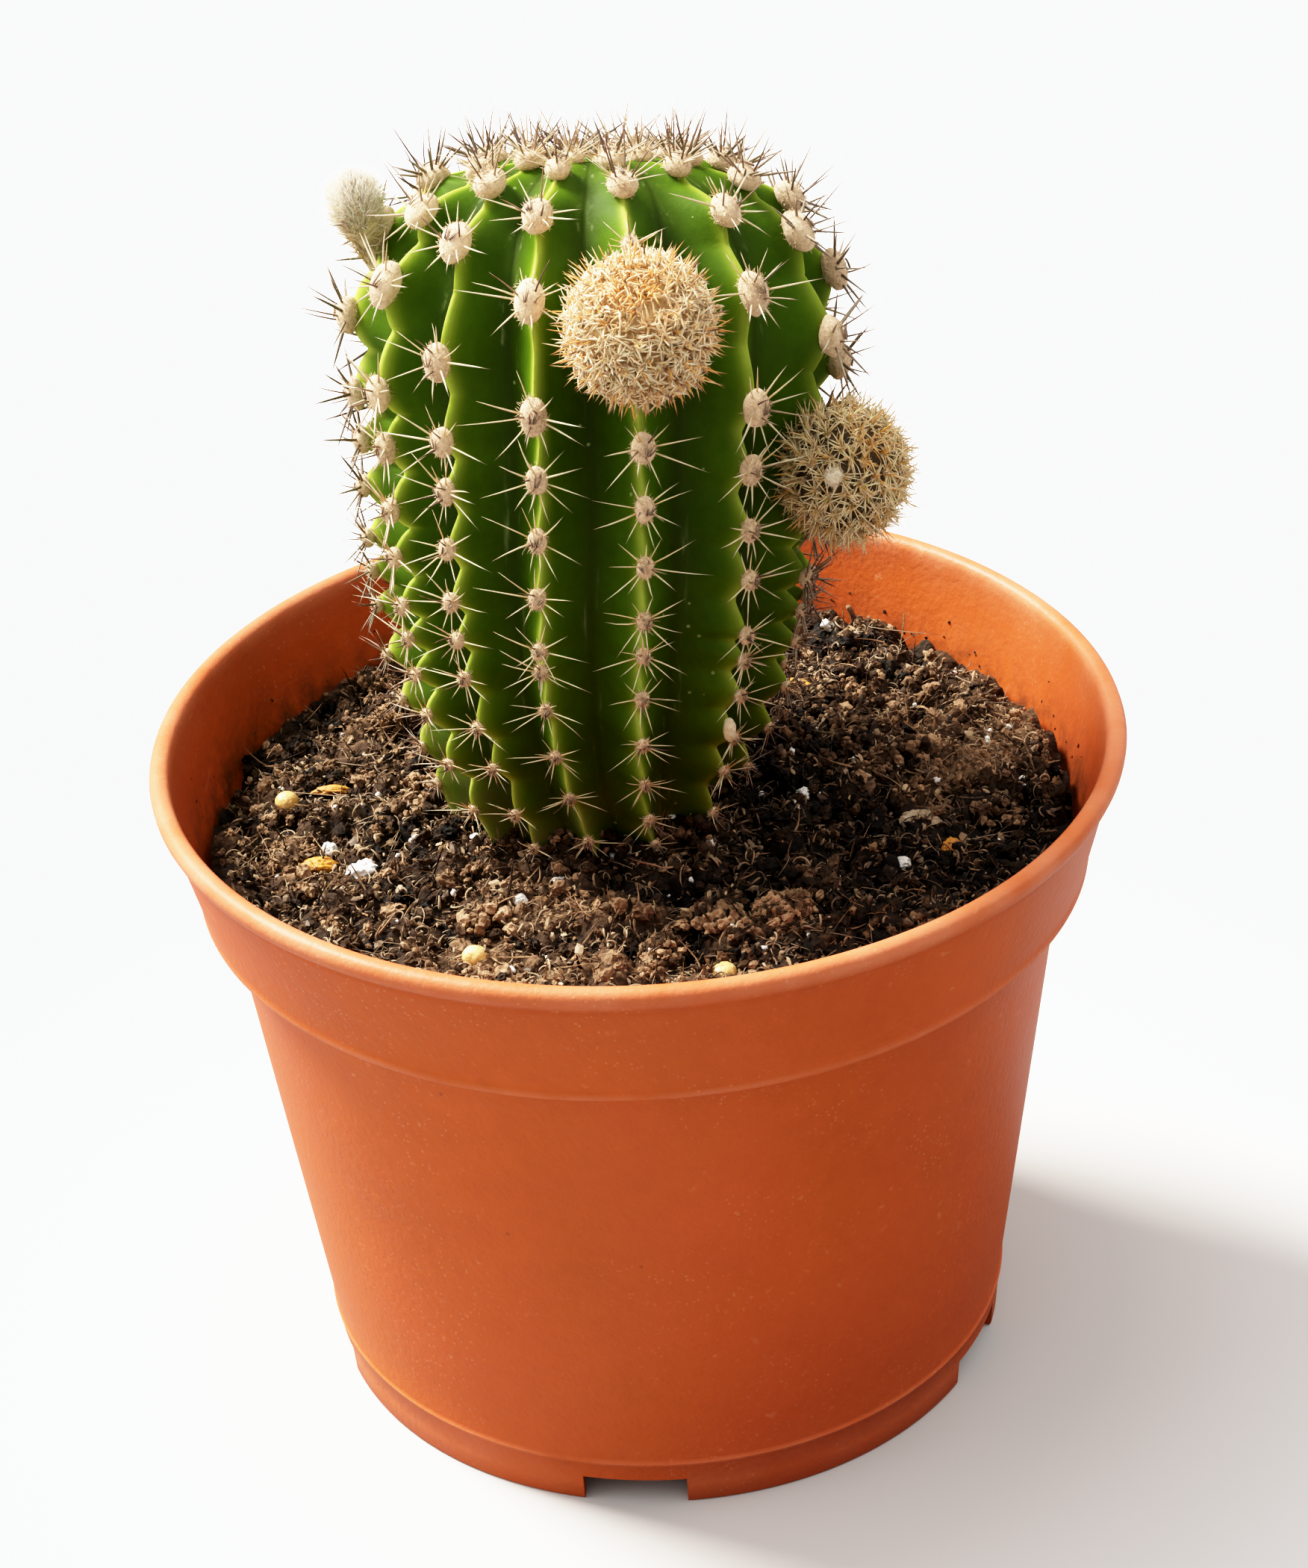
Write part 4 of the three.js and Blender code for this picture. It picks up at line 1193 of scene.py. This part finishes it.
def soil_surface(x, y):
    """The crumbly surface: its height, and how light it is, with painted shade in its pits and painted shadow
    and light patches.
    """
    flat = np.column_stack([x, y])
    solid = np.column_stack([x, y, np.zeros(len(x))])
    clods = crumbly(flat, 5.2, 11)
    crumbs = crumbly(flat, 2.6, 23)
    bits = crumbly(flat, 1.25, 37)
    height = soil_height(x, y) + 2.6 * clods + 1.5 * crumbs + 0.5 * bits - 2.45
    height = height + 1.0 * lumpy(solid, 9, 3) + 0.35 * lumpy(solid, 0.9, 4)
    # painted shade: the pits between the crumbs are darker, their tops lighter
    shade = 0.3 * crumbs * bits + 0.35 * clods - 0.06
    shade = shade + 0.2 * lumpy(solid, 3.4, 8) + 0.2 * lumpy(solid, 6.5, 12)
    # painted shadow, and painted light where the strength is negative, in round patches
    for middle_x, middle_y, radius, painted_shadow_strength in PAINTED_SHADOW_AND_LIGHT_PATCHES:
        shade = shade - painted_shadow_strength * np.exp(-(((x - middle_x) ** 2 + (y - middle_y) ** 2) / radius**2))
    return height, shade


def soil_bed():
    reach = SOIL_RADIUS * (np.arange(1, BED_RINGS + 1) / BED_RINGS)
    rings = lathe([(radius, 0) for radius in reach] + BED_WALL, BED_SIDES)
    x, y = rings[:BED_RINGS, :, 0].ravel(), rings[:BED_RINGS, :, 1].ravel()
    height, shade = soil_surface(x, y)
    hollow = np.clip((BED_HOLLOW["radius"] - np.hypot(x - STEM_FOOT[0], y - STEM_FOOT[1])) / 4, 0, 1)
    rings[:BED_RINGS, :, 2] = (height * (1 - hollow) + BED_HOLLOW["floor"] * hollow).reshape(BED_RINGS, -1)
    shade = np.append(shade, np.full(len(BED_WALL) * BED_SIDES + 2, 0.15))
    bed = capped(rings, (0, 0, BED_HOLLOW["middle"]), (0, 0, BED_WALL[-1][1]), inside_out=True)
    single("peat_bed", "peat", "peat", bed, ["soil"], smooth=False, shade=shade)


def sown(rng, count, reach):
    """Random places on the soil, clear of the stem, and the soil's shade there, its painted shadow and light
    included.
    """
    angle = rng.uniform(0, TAU, 2 * count)
    radius = reach * np.sqrt(rng.uniform(0, 1, 2 * count))
    x, y = radius * np.cos(angle), radius * np.sin(angle)
    clear = np.hypot(x - STEM_FOOT[0], y - STEM_FOOT[1] - 0.3) > STEM_CLEARANCE
    x, y = x[clear][:count], y[clear][:count]
    height, shade = soil_surface(x, y)
    return np.column_stack([x, y, height]), shade


def lifted(places, by):
    return places + by[:, None] * (0, 0, 1)


def crumb_shapes(levels, seed):
    """A few uneven lumps to copy."""
    points, faces = ball(levels)
    shapes = []
    for number in range(6):
        rough = 1 + 0.35 * lumpy(points, 0.9, seed + number) + 0.3 * lumpy(points, 0.45, seed + number + 20)
        rough = rough + 0.45 * lumpy(points, 0.24, seed + number + 40)
        stretch = 1 + 0.25 * np.sin(number + np.arange(3) * 2.1)
        shapes.append(points * rough[:, None] * stretch)
    return shapes, faces


def peat_crumbs(name, count, sizes, levels, sunk, seed, tone):
    """Single crumbs of one kind, of which some of the light ones are paler still."""
    rng = np.random.default_rng(seed)
    shapes, faces = crumb_shapes(levels, seed)
    piece = Piece("shade")
    for shape in shapes:
        places, shade = sown(rng, count // len(shapes), SOIL_RADIUS - sizes[1])
        scales = sizes[0] + (sizes[1] - sizes[0]) * rng.uniform(0, 1, len(shade)) ** 2.2
        turns = random_turns(rng, len(shade))
        tones = np.clip(tone - 0.04 + 0.9 * shade + rng.normal(scale=0.2, size=len(shade)), 0, 1)
        # the paler crumbs stay out of the painted shadow
        pale = (rng.uniform(0, 1, len(shade)) < 0.14) & (shade > 0.05)
        tones = np.where(pale, tones + 0.32 / (0.5 + scales), tones)
        made = copies(shape, faces, turns, scales, lifted(places, scales * sunk))
        piece.add(*made, shade=tones[:, None])
    piece.build(name, "peat", smooth=False)


def peat_clods():
    """Heaps of crumbs that stick together."""
    rng = np.random.default_rng(77)
    shapes, faces = crumb_shapes(2, 77)
    piece = Piece("shade")
    places, _ = sown(rng, SOWN["heaps"], SOIL_RADIUS - 4)
    for i, (x, y, _) in enumerate(places):
        reach = rng.uniform(1.5, 4.2)
        count = int(8 + 1.8 * reach**2)
        away = rng.uniform(0, 1, count) ** 0.6
        turn = rng.uniform(0, TAU, count)
        over = x + reach * away * np.cos(turn)
        back = y + reach * away * np.sin(turn)
        height, shade = soil_surface(over, back)
        heaped = np.mean(height) + (1 - away**2) * 0.5 * reach * rng.uniform(0.4, 1.2, count)
        scales = rng.uniform(0.35, 0.8, count) * (0.6 + 0.1 * reach)
        turns = random_turns(rng, count)
        tones = rng.uniform(-0.1, 0.6) + 0.8 * shade + rng.normal(scale=0.24, size=count)
        made = copies(shapes[i % 6], faces, turns, scales, np.column_stack([over, back, heaped]))
        piece.add(*made, shade=np.clip(tones, 0, 1)[:, None])
    piece.build("peat_clods", "peat", smooth=False)


def peat_flakes():
    """Thin bits of dry leaf and husk that catch the light."""
    rng = np.random.default_rng(79)
    points, faces = ball(1)
    piece = Piece("shade")
    for thin in (0.1, 0.16, 0.24, 0.35):
        places, shade = sown(rng, SOWN["flakes"], SOIL_RADIUS - 1)
        count = len(shade)
        scales = 0.28 + 0.75 * rng.uniform(0, 1, count) ** 2
        shape = points * (1, 0.35 + thin, thin) * (1 + 0.3 * lumpy(points, 0.7, int(100 * thin)))[:, None]
        places = lifted(places, rng.uniform(0.1, 0.7, count))
        turns = random_turns(rng, count)
        tones = rng.uniform(0.05, 1, count) ** 1.6 * np.clip(0.7 + 1.5 * shade, 0.2, 1)
        piece.add(*copies(shape, faces, turns, scales, places), shade=tones[:, None])
    piece.build("peat_flakes", "dry_fibre", smooth=False)


def peat_shreds():
    """Torn, curled shreds of peat between the crumbs."""
    rng = np.random.default_rng(87)
    places, shade = sown(rng, SOWN["shreds"], SOIL_RADIUS - 1.5)
    count = len(shade)
    directions = stray(rng, 1.0, count) * (1, 1, 0.55)
    lengths = rng.uniform(0.8, 3.0, count)
    bends = stray(rng, 0.55, count) * lengths[:, None]
    feet = lifted(places, rng.uniform(-0.1, 0.5, count))
    points, *faces, _ = strands(feet, directions, lengths, rng.uniform(0.06, 0.18, count), bends, 4, 5, 0.5)
    ragged = points + 0.1 * lumpy(points, 0.35, 6)[..., None] * (1, 1, 0.6)
    tones = np.clip(0.35 + 0.8 * shade + rng.normal(scale=0.32, size=count), 0, 1)
    single("peat_shreds", "peat", "peat", (ragged, *faces), smooth=False, shade=tones[:, None])


def peat_curls():
    """Light curled fibres: straight strands bowed round small circles."""
    rng = np.random.default_rng(89)
    places, shade = sown(rng, SOWN["curls"], SOIL_RADIUS - 2)
    count = len(shade)
    bow = rng.uniform(0.35, 1.3, count)
    lengths = bow * rng.uniform(1.2, 4.6, count)
    none = np.zeros((count, 3))
    radii = rng.uniform(0.08, 0.19, count)
    straight, *faces, _ = strands(none, none + (0, 0, 1), lengths, radii, none, 4, 8, 0.45)
    across, beside, along = np.moveaxis(straight, -1, 0)
    angle = along / bow[:, None]
    reach = bow[:, None] * (1 - 0.08 * angle) + across
    turns = random_turns(rng, count)
    bowed = np.stack([reach * np.cos(angle), reach * np.sin(angle), beside + 0.1 * along], -1)
    middles = lifted(places, rng.uniform(-0.2, 0.5, count))
    tones = np.clip(rng.uniform(0.0, 0.85, count) ** 1.2 * np.clip(0.65 + 1.6 * shade, 0.1, 1.2), 0, 1)
    placed = np.einsum("nij,nkj->nki", turns, bowed) + middles[:, None]
    single("peat_curls", "dry_fibre", "peat", (placed, *faces), shade=tones[:, None])


def peat_fibres():
    """Long thin fibres that lie on the crumbs."""
    rng = np.random.default_rng(83)
    places, _ = sown(rng, SOWN["fibres"], SOIL_RADIUS - 3)
    count = len(places)
    heading = rng.uniform(0, TAU, count)
    directions = np.column_stack([np.cos(heading), np.sin(heading), rng.uniform(-0.05, 0.3, count)])
    lengths = 1.0 + 5.0 * rng.uniform(0, 1, count) ** 4
    bends = stray(rng, 0.42, count) * lengths[:, None]
    bends[:, 2] = -np.abs(bends[:, 2]) * 0.8
    feet = lifted(places, rng.uniform(0.2, 0.8, count))
    *made, _ = strands(feet, directions, lengths, rng.uniform(0.04, 0.1, count), bends, 4, 6, 0.35)
    single("peat_fibres", "dry_fibre", "peat", made, shade=rng.uniform(0.1, 0.9, (count, 1)) ** 1.7)


def wall_crumbs():
    """Dry crumbs stuck to the pot's inner wall above the soil."""
    rng = np.random.default_rng(95)
    shapes, faces = crumb_shapes(2, 95)
    inner = np.array(POT_INSIDE[:6][::-1], float)
    azimuths = np.concatenate([WALL_SPECKS[:, 0], rng.uniform(0, 360, SOWN["wall"])])
    heights = np.concatenate([WALL_SPECKS[:, 1], 75 + 5 * rng.uniform(0, 1, SOWN["wall"]) ** 2.5])
    scales = np.concatenate([WALL_SPECKS[:, 2], rng.uniform(0.1, 0.26, SOWN["wall"])])
    reach = np.interp(heights, inner[:, 1], inner[:, 0]) + 0.35 * scales
    places = outward(azimuths) * reach[:, None] + np.column_stack([np.zeros((len(reach), 2)), heights])
    made = copies(shapes[1], faces, random_turns(rng, len(reach)), scales, places)
    single("wall_crumbs", "peat", "peat", made, smooth=False, shade=0.45)


def pale_bits():
    """Fine perlite and grit between the crumbs."""
    rng = np.random.default_rng(91)
    shapes, faces = crumb_shapes(2, 91)
    piece = Piece()
    for shape in shapes[:3]:
        places, _ = sown(rng, SOWN["pale"], SOIL_RADIUS - 2)
        scales = 0.16 + 0.42 * rng.uniform(0, 1, len(places)) ** 2.5
        turns = random_turns(rng, len(places))
        piece.add(*copies(shape, faces, turns, scales, lifted(places, 0.7 * scales)))
    piece.build("perlite_bits", "perlite")


# ---- loose pieces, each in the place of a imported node


def node_place(node):
    """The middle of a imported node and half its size, mm."""
    low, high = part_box(node)
    return np.array((low + high) / 2) / MM, np.array((high - low) / 2) / MM


def lump(node, seed, finish, rough, fine, bend=0.0):
    """An uneven body, as large as its node."""
    middle, half = node_place(node)
    points, faces = ball(5)
    uneven = 1 + rough * lumpy(points, 0.8, seed) + fine * lumpy(points, 0.22, seed + 5)
    shape = points * uneven[:, None] * half
    shape[:, 2] += bend * half[0] * (0.4 - (shape[:, 0] / half[0]) ** 2)
    single(f"{node}_body", finish, finish, (shape + middle, faces), [node])


def clod(node, seed, grow=1.0, tone=0.0):
    """A heap of small crumbs and short shreds."""
    rng = np.random.default_rng(seed)
    middle, half = node_place(node)
    half = grow * half
    shapes, faces = crumb_shapes(3, seed)
    piece = Piece("shade")
    piece.add(shapes[0] * 0.62 * half + middle, faces, shade=0.35)
    for shape in shapes:
        around = unit(rng.normal(size=(70, 3))) * rng.uniform(0.55, 0.95, 70)[:, None]
        turns = random_turns(rng, 70)
        made = copies(shape, faces, turns, rng.uniform(0.2, 0.62, 70), around * half + middle)
        piece.add(*made, shade=tone + rng.uniform(0.3, 1.0, (70, 1)))
    feet = unit(rng.normal(size=(90, 3))) * half * 0.8 + middle
    directions = rng.normal(size=(90, 3))
    lengths = rng.uniform(0.6, 1.8, 90)
    *shreds, _ = strands(feet, directions, lengths, 0.1, stray(rng, 0.5, 90), 4, 4, 0.5)
    piece.add(*shreds, shade=tone + rng.uniform(0.3, 1.0, (90, 1)))
    piece.build(f"{node}_body", "peat", [node], smooth=False)


def loose_pieces():
    for number in range(1, 4):
        lump(f"pellet_{number}", number, "pellet", 0.06, 0.03)
        largest = number == 1
        clod(f"peat_crumb_{number}", 30 + number, 1.25 if largest else 1, 0.15 if largest else 0)
    for number in range(1, 9):
        lump(f"perlite_{number}", 10 + number, "perlite", 0.3, 0.14)
    for number in range(1, 5):
        lump(f"bark_sliver_{number}", 20 + number, "bark", 0.3, 0.15, 0.1)
    lump("bark_chip", 41, "chip", 0.28, 0.2)
    lump("seed_husk", 42, "husk", 0.12, 0.05)


def twig():
    """A broken twig that stands in the soil by the wall."""
    foot, bend, tip = TWIG_BENT
    bow = tip - foot - unit(bend - foot) * TWIG_LENGTH
    points, *faces, _ = strands(foot, bend - foot, TWIG_LENGTH, TWIG_RADIUS, bow, 12, 24, 0.55)
    rough = points + 0.14 * lumpy(points * (1, 1, 0.4), 0.4, 43)[..., None] * (1, 1, 0)
    single("twig_body", "twig", "chip", (rough, *faces), ["twig"])


# ---- stage


def floor():
    mesh = bpy.data.meshes.new("floor")
    corners = [(x * FLOOR_HALF, y * FLOOR_HALF, 0) for x, y in ((-1, -1), (1, -1), (1, 1), (-1, 1))]
    mesh.from_pydata(corners, [], [(0, 1, 2, 3)])
    nodes = Finish("pale_floor", Roughness=0.75, Specular_IOR_Level=0.2)
    pale = nodes.mix(nodes.patches(0.3, 0.7, 6.0), (0.54, 0.527, 0.516), (0.56, 0.547, 0.536))
    # painted light: the floor grows paler away from the pot, so the pot's cast shadow fades with distance
    away = nodes.add("ShaderNodeVectorMath", {0: nodes.place()}, operation="LENGTH").outputs["Value"]
    pale = nodes.mix(nodes.remap(away, 0.06, 0.13), pale, (0.84, 0.83, 0.825))
    seen = nodes.add("ShaderNodeLightPath").outputs["Is Camera Ray"]
    nodes.paint(nodes.mix(seen, (0.24, 0.235, 0.24), pale))
    mesh.materials.append(FINISH["pale_floor"])
    linked("floor", mesh)


light_and_camera()
floor()
pot()
stem()
for rib in range(len(RIB_AZIMUTHS)):
    wool_and_spines(rib)
offset("pup_front", PUP_FRONT, "spine_cream", "straw_spines")
offset("pup_right", PUP_RIGHT, "spine_tan", "tan_spines")
tuft()
flower_bud()
soil_bed()
peat_clods()
peat_crumbs("peat_crumbs_middle", 540, (0.55, 1.15), 3, 0.0, 72, 0.16)
peat_crumbs("peat_crumbs_small", 600, (0.45, 0.9), 3, 0.15, 74, 0.28)
peat_crumbs("peat_crumbs_fine", 2400, (0.2, 0.5), 2, 0.4, 73, 0.36)
peat_flakes()
peat_shreds()
peat_curls()
peat_fibres()
pale_bits()
wall_crumbs()
loose_pieces()
twig()
